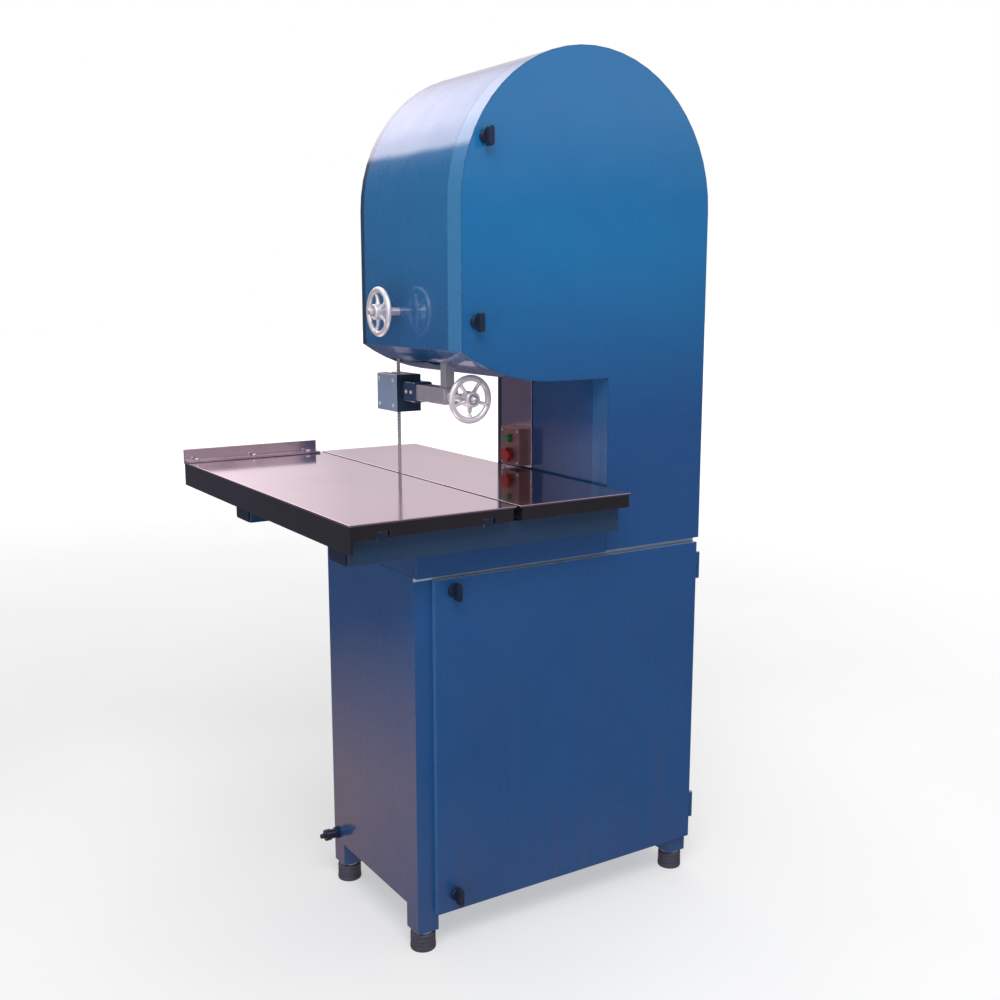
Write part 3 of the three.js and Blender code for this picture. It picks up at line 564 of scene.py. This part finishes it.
def rounded_profile(inner, outer, low, high, corner, steps=4):
    """A closed ring section with rounded outer corners."""
    points = [(inner, low)]
    for start, height in ((-math.pi / 2, low + corner), (0, high - corner)):
        for k in range(steps + 1):
            a = start + k * math.pi / 2 / steps
            points.append((outer - corner + corner * math.cos(a), height + corner * math.sin(a)))
    points.append((inner, high))
    return points


def rim_profile(radius, across, thick, steps=16):
    """An oval section, centred at radius from the axis."""
    return [(radius + across * x, thick * y) for x, y in circle(1, steps)]


def handwheel(shape, matrix, radius, hub_radius, hub_half, spokes, bore):
    """Cast wheel: oval rim, dished spokes and a turned hub."""
    rim = 6.0 * MM
    shape.revolve(rim_profile(radius - rim, rim, 5.2 * MM), matrix, 72)
    shape.revolve(rounded_profile(bore, hub_radius, -hub_half, hub_half, 2.5 * MM), matrix, 40)
    for k in range(spokes):
        angle = TURN * (k + 0.25) / spokes
        out = Vector((math.cos(angle), math.sin(angle), 0))
        path, radii = [], []
        for step in range(7):
            t = step / 6
            reach = hub_radius * 0.7 + (radius - rim - hub_radius * 0.7) * t
            lift = 2.0 * MM * math.sin(math.pi * t)
            path.append(matrix @ (out * reach + Vector((0, 0, lift))))
            wide = (6.2 - 2.4 * math.sin(math.pi * t)) * MM
            radii.append((wide, 3.4 * MM))
        shape.sweep(path, radii)


def build_handwheels():
    """Both five-spoked wheels; the one on the arm is in one piece with its long spindle."""
    low, high = box_of("post_handwheel")
    radius = (high.z - low.z) / 2
    shape = Shape()
    handwheel(shape, along("x", centre("post_handwheel")), radius, 15 * MM, 13 * MM, 5, 8.4 * MM)
    shape.finish("cast_post_handwheel", "aluminium", "post_handwheel", ["post_handwheel"])

    low, high = box_of("feed_handwheel")
    radius = (high.z - low.z) / 2
    axis = Vector(((low.x + high.x) / 2, 0, (low.z + high.z) / 2))
    wheel_y = low.y + 14 * MM
    shape = Shape()
    handwheel(shape, along("y", (axis.x, wheel_y, axis.z)), radius, 15 * MM, 13 * MM, 5, 6 * MM)
    arm_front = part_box("guide_arm")[0][1]
    spindle = along("y", (axis.x, 0, axis.z))
    shape.revolve([(0.2 * MM, low.y + 3 * MM), (7.5 * MM, low.y + 3 * MM), (8 * MM, low.y + 4 * MM),
                   (8 * MM, arm_front - 8 * MM), (11 * MM, arm_front - 7.5 * MM),
                   (11 * MM, arm_front - 1 * MM), (5 * MM, arm_front - 0.6 * MM),
                   (5 * MM, high.y), (0.2 * MM, high.y)], spindle, 28)
    shape.finish("cast_feed_handwheel", "aluminium", "feed_handwheel", ["feed_handwheel"])
    build_spindle_nuts(low, axis)


def build_spindle_nuts(feed_low, feed_axis):
    """The domed nuts that hold the handwheels on their spindles."""
    post = centre("post_handwheel")
    faces = {"post_handwheel": along("x", (post.x - 13.5 * MM, post.y, post.z)),
             "feed_handwheel": along("y", (feed_axis.x, feed_low.y + 0.6 * MM, feed_axis.z))}
    for body, face in faces.items():
        at = face @ Matrix.Rotation(math.pi, 4, "X")
        nut = Shape().prism(circle(9 * MM, 6), 0, 4 * MM, at)
        dome = [(0.15 * MM, 3.8 * MM), (7 * MM, 3.8 * MM), (6.6 * MM, 5.5 * MM), (4.6 * MM, 7.6 * MM),
                (0.15 * MM, 8.6 * MM)]
        nut.revolve(dome, at, 28)
        nut.finish(f"{body}_nut", "steel", body, (), 0.6 * MM)


# ---------------------------------------------------------------- band wheels

def apply_modifiers(piece):
    """Bakes a piece's modifiers into its mesh."""
    graph = bpy.context.evaluated_depsgraph_get()
    baked = bpy.data.meshes.new_from_object(
        piece.evaluated_get(graph), preserve_all_data_layers=True, depsgraph=graph)
    piece.modifiers.clear()
    piece.data = baked


def drill(piece, cutters):
    """Cuts round holes, each given as a matrix, radius and length along its local z."""
    shape = Shape()
    for matrix, radius, length in cutters:
        shape.prism(circle(radius, 40), -length / 2, length / 2, matrix)
    cutter = add_object("cutter", shape.mesh("cutter"))
    piece.modifiers.clear()
    cut = piece.modifiers.new("drill", "BOOLEAN")
    cut.operation = "DIFFERENCE"
    cut.solver = "EXACT"
    cut.object = cutter
    apply_modifiers(piece)
    bpy.data.objects.remove(cutter)


HOLE_CIRCLE = 122 * MM                  # radius at which the band wheels' holes lie
DRILL_LENGTH = 0.1                      # long enough to pass through any wheel


def build_band_wheels():
    """Flanged wheels with a dished web, six lightening holes and a machined rim."""
    for name, body in (("lower_wheel", "lower_wheel_set"), ("upper_wheel", "upper_wheel_set")):
        low, high = box_of(name)
        middle = (low + high) / 2
        flange = (high.x - low.x) / 2
        face = flange - 6 * MM
        front = low.y + 9 * MM
        at = along("y", (middle.x, front, middle.z))
        inner = face - 14 * MM
        front_of_web = [(10.4, -9), (28, -9), (30, -7), (32, 11), (36, 12), (150, 11), (186, 10),
                        (190, 8), (190, 1), (191, 0)]
        back_of_web = [(150, 20), (36, 20), (31, 21), (30, 33), (28.5, 34.5), (10.4, 34.5)]
        ring = [(r * MM, h * MM) for r, h in front_of_web]
        ring += [(inner + 15 * MM, 0), (flange - 1 * MM, 0), (flange, 1 * MM), (flange, 4 * MM),
                 (flange - 1 * MM, 5 * MM), (face, 5 * MM), (face, 31.4 * MM),
                 (face - 1 * MM, 32 * MM), (inner + 1 * MM, 32 * MM), (inner, 31 * MM),
                 (inner - 1 * MM, 24 * MM), (inner - 6 * MM, 21 * MM)]
        ring += [(r * MM, h * MM) for r, h in back_of_web]
        shape = Shape().revolve(ring, at, 96)
        piece = shape.finish(f"machined_{name}", "aluminium", body, [name])
        holes = []
        for k in range(6):
            angle = TURN * (k + 0.5) / 6
            place = (middle.x + HOLE_CIRCLE * math.cos(angle), front,
                     middle.z + HOLE_CIRCLE * math.sin(angle))
            holes.append((along("y", place), 38 * MM, DRILL_LENGTH))
        drill(piece, holes)
        round_edges(piece, 0.8 * MM, 42, False)


def build_pulleys():
    """Grooved pulleys with a recessed web; the large one is lightened by five holes."""
    for name, body, shaft, holes in (("driven_pulley", "lower_wheel_set", "lower_shaft", 5),
                                     ("motor_pulley", "motor_rotor", "motor_shaft", 0)):
        low, high = box_of(name)
        middle = (low + high) / 2
        radius, half = (high.x - low.x) / 2, (high.y - low.y) / 2
        bore = (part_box(shaft)[1][0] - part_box(shaft)[0][0]) / 2 + 0.4 * MM
        hub, rim = bore + 12 * MM, radius - 18 * MM
        front = [(bore, -half), (hub, -half), (hub + MM, -half + 7 * MM),
                 (rim - 2 * MM, -half + 7 * MM), (rim, -half + MM), (rim + MM, -half),
                 (radius - MM, -half), (radius, -half + MM), (radius, -half + 9 * MM),
                 (radius - 12 * MM, -half + 11.5 * MM)]
        profile = front + [(r, -h) for r, h in reversed(front)]
        shape = Shape().revolve(profile, along("y", middle), 72)
        piece = shape.finish(f"grooved_{name}", "cast_iron", body, [name])
        if holes:
            ring = (hub + rim) / 2
            turns = [TURN * k / holes for k in range(holes)]
            drill(piece, [(along("y", middle + ring * Vector((math.cos(a), 0, math.sin(a)))),
                           22 * MM, DRILL_LENGTH) for a in turns])
        round_edges(piece, 0.6 * MM, 42, False)


# ---------------------------------------------------------------- feet

def build_feet():
    """Rubber machine feet: a grooved block under a steel washer."""
    for side in ("front_left", "front_right", "rear_left", "rear_right"):
        low, high = box_of(f"{side}_foot")
        at = along("z", ((low.x + high.x) / 2, (low.y + high.y) / 2, 0))
        outer = (high.x - low.x) / 2
        profile = [(0.2 * MM, 0), (outer - 3 * MM, 0), (outer - 0.8 * MM, 1 * MM),
                   (outer, 3 * MM), (outer, 9 * MM)]
        for groove in (10 * MM, 18 * MM, 26 * MM):
            profile += [(outer - 1.6 * MM, groove), (outer - 1.6 * MM, groove + 1.4 * MM),
                        (outer - 0.4 * MM, groove + 2.2 * MM), (outer - 0.6 * MM, groove + 7 * MM)]
        profile += [(outer - 2.6 * MM, 35 * MM), (outer - 4 * MM, 36 * MM), (0.2 * MM, 36 * MM)]
        Shape().revolve(profile, at, 48).finish(
            f"{side}_rubber_foot", "rubber", "root", [f"{side}_foot"])
        washer = [(0.2 * MM, 36.2 * MM), (20 * MM, 36.2 * MM), (20.6 * MM, 36.8 * MM),
                  (20.6 * MM, 38.4 * MM), (20 * MM, 39 * MM), (12 * MM, 39 * MM),
                  (12 * MM, 40 * MM), (0.2 * MM, 40 * MM)]
        Shape().revolve(washer, at, 40).finish(f"{side}_foot_washer", "steel", "root")


# ---------------------------------------------------------------- motor

MOTOR_FINS = 32
MOTOR_RADIUS = 80 * MM


def build_motor():
    """Totally enclosed motor: ribbed barrel, end bells, fan cowl, foot and terminal box."""
    low, high = box_of("motor")
    axis = Vector(((low.x + high.x) / 2, 0, centre("motor_shaft").z))
    at = along("y", axis)
    core = MOTOR_RADIUS - 10 * MM
    shape = Shape()
    profile = [(12.5, 2), (44, 2), (48, 8), (78, 14), (79, 16), (79, 30), (77, 33), (70, 34),
               (70, 146), (77, 147), (80, 150), (80, 184), (76, 189), (12, 190)]
    shape.revolve([(r * MM, low.y + y * MM) for r, y in profile], at, 64)
    for k in range(MOTOR_FINS):
        turn = at @ Matrix.Rotation(TURN * (k + 0.5) / MOTOR_FINS, 4, "Z")
        shape.box((core - MM, -1.3 * MM, low.y + 33 * MM),
                  (MOTOR_RADIUS - 2 * MM, 1.3 * MM, low.y + 148 * MM), turn)
    for side in (-1, 1):
        x = axis.x + side * 52 * MM
        shape.box((x - 12 * MM, low.y + 30 * MM, low.z), (x + 12 * MM, low.y + 150 * MM, low.z + 8 * MM))
        shape.box((x - 4 * MM, low.y + 34 * MM, low.z + 7 * MM),
                  (x + 4 * MM, low.y + 146 * MM, axis.z - 45 * MM))
    shape.box((axis.x - 34 * MM, low.y + 50 * MM, axis.z + 66 * MM),
              (axis.x + 34 * MM, low.y + 120 * MM, high.z - 5 * MM))
    shape.box((axis.x - 37 * MM, low.y + 47 * MM, high.z - 5.2 * MM),
              (axis.x + 37 * MM, low.y + 123 * MM, high.z))
    shape.finish("ribbed_motor", "cast_iron", "root", ["motor"], 0.7 * MM)


# ---------------------------------------------------------------- latches

def stadium(width, height, steps=8):
    """An upright slot outline centred on the origin."""
    radius = width / 2
    points = []
    for start, middle in ((0, height / 2 - radius), (math.pi, radius - height / 2)):
        for k in range(steps + 1):
            a = start + math.pi * k / steps
            points.append((radius * math.cos(a), middle + radius * math.sin(a)))
    return points


def build_latches():
    """Quarter-turn latches: a winged knob on a turned boss, its spindle and its cam."""
    wing_half = 17 * MM
    for front, out in (("front", -1), ("rear", 1)):
        for place in ("head_upper", "head_lower", "cabinet_upper", "cabinet_lower"):
            name = f"{front}_{place}_latch"
            low, high = box_of(name)
            face = low.y if out < 0 else high.y
            inner = high.y if out < 0 else low.y
            centre_x, centre_z = (low.x + high.x) / 2, high.z - wing_half
            # local z points out of the door, with local y up
            upright = Matrix.Rotation(math.pi / 2, 4, "X")
            if out > 0:
                upright = Matrix.Rotation(math.pi, 4, "Z") @ upright
            at = Matrix.Translation((centre_x, face, centre_z)) @ upright
            depth = abs(face - inner)
            shape = Shape()
            shape.prism(stadium(10 * MM, 34 * MM), -16 * MM, 0, at)
            shape.revolve([(0.2 * MM, -24.5 * MM), (11.6 * MM, -24.5 * MM), (12 * MM, -24 * MM),
                           (12 * MM, -19 * MM), (10.5 * MM, -15.5 * MM), (0.2 * MM, -15.5 * MM)],
                          at, 36)
            shape.revolve([(0.2 * MM, -depth), (5.5 * MM, -depth), (5.5 * MM, -24 * MM),
                           (0.2 * MM, -24 * MM)], at, 20)
            cam = [(x, y - 6 * MM) for x, y in stadium(12 * MM, 24 * MM)]
            shape.prism(cam, -depth, -depth + 4 * MM, at)
            shape.finish(f"{name}_knob", "black_plastic", name, [name], 0.3 * MM)


# ---------------------------------------------------------------- small hardware

def screw_heads(name, body, axis, places, radius, height):
    """Socket-head screws whose heads stand on the given points, facing along the axis."""
    profile = [(0.15 * MM, 0.5 * height), (0.42 * radius, 0.5 * height), (0.46 * radius, height),
               (0.78 * radius, height), (radius, 0.7 * height), (radius, 0), (0.15 * MM, 0)]
    shape = Shape()
    turns = {"-x": Matrix.Rotation(-math.pi / 2, 4, "Y"), "+z": Matrix.Identity(4)}
    for place in places:
        shape.revolve(profile, Matrix.Translation(Vector(place)) @ turns[axis], 24)
    shape.finish(name, "steel", body)


def rounded_rectangle(width, height, radius, steps=5):
    """The outline of a rounded rectangle centred on the origin."""
    points = []
    for k in range(4 * (steps + 1)):
        corner, step = divmod(k, steps + 1)
        a = math.pi / 2 * (corner + step / steps)
        x = (width / 2 - radius) * (1 if corner in (0, 3) else -1)
        y = (height / 2 - radius) * (1 if corner in (0, 1) else -1)
        points.append((x + radius * math.cos(a), y + radius * math.sin(a)))
    return points


def end_cap(name, axis, low, high, inset, outwards):
    """A moulded plug's head on a bar end: a flange with a raised pad."""
    middle = (low + high) / 2
    size = high - low
    if axis == "x":
        at = Matrix.Translation((high.x if outwards < 0 else low.x, middle.y, middle.z)) @ AXIS_X
        wide, tall, thick = size.z, size.y, size.x
    else:
        at = Matrix.Translation((middle.x, high.y if outwards < 0 else low.y, middle.z)) @ AXIS_Y
        wide, tall, thick = size.x, size.z, size.y
    shape = Shape()
    shape.prism(rounded_rectangle(wide - 2 * inset, tall - 2 * inset, 3 * MM),
                0, outwards * thick * 0.6, at)
    shape.prism(rounded_rectangle(wide - 6 * inset, tall - 6 * inset, 2 * MM),
                outwards * thick * 0.6, outwards * thick, at)
    shape.finish(name, "black_plastic", "root", (), 0.3 * MM)


def corners(low, high, inset_a, inset_b, axes):
    """The four corners of a box's face, set in along its two axes."""
    a, b = axes
    return [(u, v) for u in (low[a] + inset_a, high[a] - inset_a)
            for v in (low[b] + inset_b, high[b] - inset_b)]


def build_arm_clamp():
    """A painted clamp round the arm's blade end, pinched by two screws."""
    low, high = box_of("guide_arm")
    middle = (low + high) / 2
    arm = high.x - low.x
    outer, length, wall = arm + 9 * MM, 46 * MM, 0.4 * MM
    section = rounded_rectangle(outer, outer, 4 * MM)
    hole = rounded_rectangle(arm + 2 * wall, arm + 2 * wall, 0.5 * MM)
    at = along("y", (middle.x, high.y - length, middle.z))
    count = len(section)
    verts = [(x, y, z) for z in (0, length) for ring in (section, hole) for x, y in ring]
    faces = []
    for i in range(count):
        j = (i + 1) % count
        faces += [(i, j, j + 2 * count, i + 2 * count),
                  (i + count, i + 3 * count, j + 3 * count, j + count),
                  (i, i + count, j + count, j),
                  (i + 2 * count, j + 2 * count, j + 3 * count, i + 3 * count)]
    # a clamp whose dark navy also stands for the shade the guide block casts on the arm: painted shade
    Shape().add(verts, faces, at).finish("arm_clamp", "navy_paint", "guide_post", (), 1 * MM)
    places = [(middle.x - outer / 2, high.y - length * t, middle.z) for t in (0.28, 0.72)]
    screw_heads("arm_clamp_screws", "guide_post", "-x", places, 4 * MM, 2.6 * MM)


def build_hardware():
    """Fixing screws, the arm's clamp, and plugs in the ends of the beams and rails."""
    low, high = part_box("switch_box")
    places = [(low[0], y, z) for y, z in corners(low, high, 6 * MM, 6 * MM, (1, 2))]
    screw_heads("switch_box_screws", "root", "-x", places, 2.6 * MM, 1.6 * MM)

    plate_low, plate_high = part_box("column_guard_plate")
    places = [(plate_low[0], y, z) for y, z in corners(plate_low, plate_high, 9 * MM, 9 * MM, (1, 2))
              if z > high[2] or y > high[1]]
    screw_heads("guard_plate_screws", "root", "-x", places, 4 * MM, 2.4 * MM)

    low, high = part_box("guide_block")
    front = high[1] - 88 * MM
    places = [(low[0], y, z) for y, z in
              corners((0, front, low[2]), (0, high[1], high[2]), 14 * MM, 12 * MM, (1, 2))]
    screw_heads("guide_block_screws", "guide_block", "-x", places, 4.5 * MM, 3 * MM)

    low, high = box_of("carriage_fence")
    foot_top, foot_middle = low.z + 4 * MM, low.y + 13 * MM
    places = [(low.x + (high.x - low.x) * t, foot_middle, foot_top) for t in (0.08, 0.5, 0.92)]
    screw_heads("fence_screws", "carriage", "+z", places, 5.5 * MM, 4 * MM)

    build_arm_clamp()

    for name in ("front_table_beam", "rear_table_beam"):
        low, high = box_of(name)
        end_cap(f"{name}_end_cap", "x", low - Vector((3 * MM, 0, 0)),
                Vector((low.x - 0.1 * MM, high.y, high.z)), MM, -1)
    for name in ("left_slide_rail", "right_slide_rail"):
        low, high = box_of(name)
        end_cap(f"{name}_front_cap", "y", low - Vector((0, 2.4 * MM, 0)),
                Vector((high.x, low.y - 0.1 * MM, high.z)), 0.5 * MM, -1)
        end_cap(f"{name}_rear_cap", "y", Vector((low.x, high.y + 0.1 * MM, low.z)),
                high + Vector((0, 2.4 * MM, 0)), 0.5 * MM, 1)


# ---------------------------------------------------------------- stage

CAMERA_PLACE = (-1.2445, -2.169, 1.263)
CAMERA_YAW = 32.52
CAMERA_PITCH = 10.18
CAMERA_LENS = 42.6
SKY_STRENGTH = 0.3                      # on matt surfaces
WINDOW_STRENGTHS = (3.1, 0.02)          # mirrored, at the window's left and right sides
MIRRORED_SKY = 0.66
MIRRORED_HORIZON = 0.12
FLOOR_HALF = 30.0
LIT_PATCH = (-0.5, 0.4, 0)              # middle of the patch of floor that mirrors as lit


def build_camera():
    data = bpy.data.cameras.new("camera")
    data.lens = CAMERA_LENS
    data.sensor_width = 36
    camera = add_object("camera", data)
    camera.location = CAMERA_PLACE
    camera.rotation_euler = (math.radians(90 - CAMERA_PITCH), 0, math.radians(-CAMERA_YAW))
    bpy.context.scene.camera = camera


def build_floor():
    """Near white to the camera; in reflections only a warm patch behind on the left is lit."""
    mesh = bpy.data.meshes.new("floor")
    square = [(x * FLOOR_HALF, y * FLOOR_HALF, 0) for x, y in ((-1, -1), (1, -1), (1, 1), (-1, 1))]
    mesh.from_pydata(square, [], [(0, 1, 2, 3)])
    floor = add_object("floor", mesh)
    material, tree, surface = new_shader("pale_floor")
    place = object_space(tree)
    tone = remap(tree, noise(tree, place, 1.2, 3), 0.3, 0.7, 0.5, 0.54)
    grey = node(tree, "ShaderNodeCombineColor", sockets={"Red": tone, "Green": tone, "Blue": tone})
    tree.links.new(grey.outputs["Color"], surface.inputs["Base Color"])
    surface.inputs["Roughness"].default_value = 0.8
    surface.inputs["Specular IOR Level"].default_value = 0.1
    surface.inputs["Emission Color"].default_value = rgb(1, 1, 1)
    distance = node(tree, "ShaderNodeVectorMath", {"operation": "DISTANCE"},
                    {0: place, 1: LIT_PATCH})
    glow = remap(tree, distance.outputs["Value"], 1.0, 6.5, 0.46, 1.0)
    tree.links.new(glow, surface.inputs["Emission Strength"])
    patch = remap(tree, distance.outputs["Value"], 0.1, 1.6, 1.0, 0.0)
    seen = blend_colour(tree, patch, rgb(0.1, 0.09, 0.13), rgb(0.62, 0.36, 0.17))
    mirrored = node(tree, "ShaderNodeEmission", sockets={"Color": seen})
    path = node(tree, "ShaderNodeLightPath")
    choice = node(tree, "ShaderNodeMixShader", sockets={
        0: path.outputs["Is Glossy Ray"], 1: surface.outputs["BSDF"],
        2: mirrored.outputs["Emission"]})
    tree.links.new(choice.outputs["Shader"], tree.nodes["Material Output"].inputs["Surface"])
    mesh.materials.append(material)


def soft_light(name, place, target, size, power, colour=(1, 1, 1), mirrored=True):
    """An area light aimed at a point; unless mirrored, reflections don't show it."""
    data = bpy.data.lights.new(name, "AREA")
    data.shape = "RECTANGLE"
    data.size, data.size_y = size
    data.energy = power
    data.color = colour
    lamp = add_object(name, data)
    lamp.location = place
    lamp.visible_glossy = mirrored
    lamp.rotation_euler = (Vector(target) - Vector(place)).to_track_quat("-Z", "Y").to_euler()


def build_world():
    """White to the camera, even to matt surfaces, and a bright window behind for reflections."""
    world = bpy.data.worlds.new("studio")
    bpy.context.scene.world = world
    world.use_nodes = True
    tree = world.node_tree
    background = tree.nodes["Background"]
    coords = node(tree, "ShaderNodeTexCoord")
    towards = node(tree, "ShaderNodeSeparateXYZ", sockets={0: coords.outputs["Generated"]})
    behind = remap(tree, towards.outputs["Y"], 0.2, 0.6, 0.0, 1.0)
    # the window's lower edge falls from left to right, down to where the table mirrors it
    slant = calculate(tree, "MULTIPLY_ADD", towards.outputs["X"], 0.9, towards.outputs["Z"])
    raised = remap(tree, slant, 0.1, 0.17, 0.0, 1.0)
    # the curved side mirrors weakly where it faces the camera, so the window is brightest there
    across = remap(tree, towards.outputs["X"], -0.28, 0.42, *WINDOW_STRENGTHS)
    window = multiply(tree, multiply(tree, raised, behind), across)
    # a dark sector behind on the left keeps the flat side faces deep blue
    sector = multiply(tree, remap(tree, towards.outputs["X"], -0.1, -0.22, 0.0, 1.0),
                      remap(tree, towards.outputs["X"], -0.6, -0.5, 0.0, 1.0))
    unshaded = calculate(tree, "SUBTRACT", 1.0, multiply(tree, behind, sector))
    high = remap(tree, towards.outputs["Z"], 0.07, 0.14, 0.0, MIRRORED_SKY)
    above = calculate(tree, "ADD", multiply(tree, unshaded, high), MIRRORED_HORIZON)
    mirrored = calculate(tree, "ADD", window, above)
    path = node(tree, "ShaderNodeLightPath")
    lit = node(tree, "ShaderNodeMix", {"data_type": "FLOAT"}, {
        0: path.outputs["Is Glossy Ray"], 2: SKY_STRENGTH, 3: mirrored})
    seen = node(tree, "ShaderNodeMix", {"data_type": "FLOAT"}, {
        0: path.outputs["Is Camera Ray"], 2: lit.outputs[0], 3: 1.0})
    tree.links.new(seen.outputs[0], background.inputs["Strength"])
    tint = blend_colour(tree, path.outputs["Is Glossy Ray"], rgb(1, 1, 1), rgb(1.0, 0.88, 0.92))
    tree.links.new(tint, background.inputs["Color"])


def build_lights():
    soft_light("key", (-1.3, -2.6, 3.6), (0, 0, 1.2), (2.4, 1.8), 94)
    soft_light("top", (0.2, 0.3, 3.6), (0, 0, 0.9), (2.6, 2.6), 42, mirrored=False)
    soft_light("edge_strip", (-2.9, -1.8, 1.05), (0, 0, 1.0), (0.5, 2.0), 14, (0.9, 0.96, 1.0))


dress_cad_nodes()
build_blade()
build_handwheels()
build_band_wheels()
build_pulleys()
build_feet()
build_motor()
build_latches()
build_hardware()
build_floor()
build_world()
build_lights()
build_camera()
bpy.context.scene.view_settings.view_transform = "Standard"
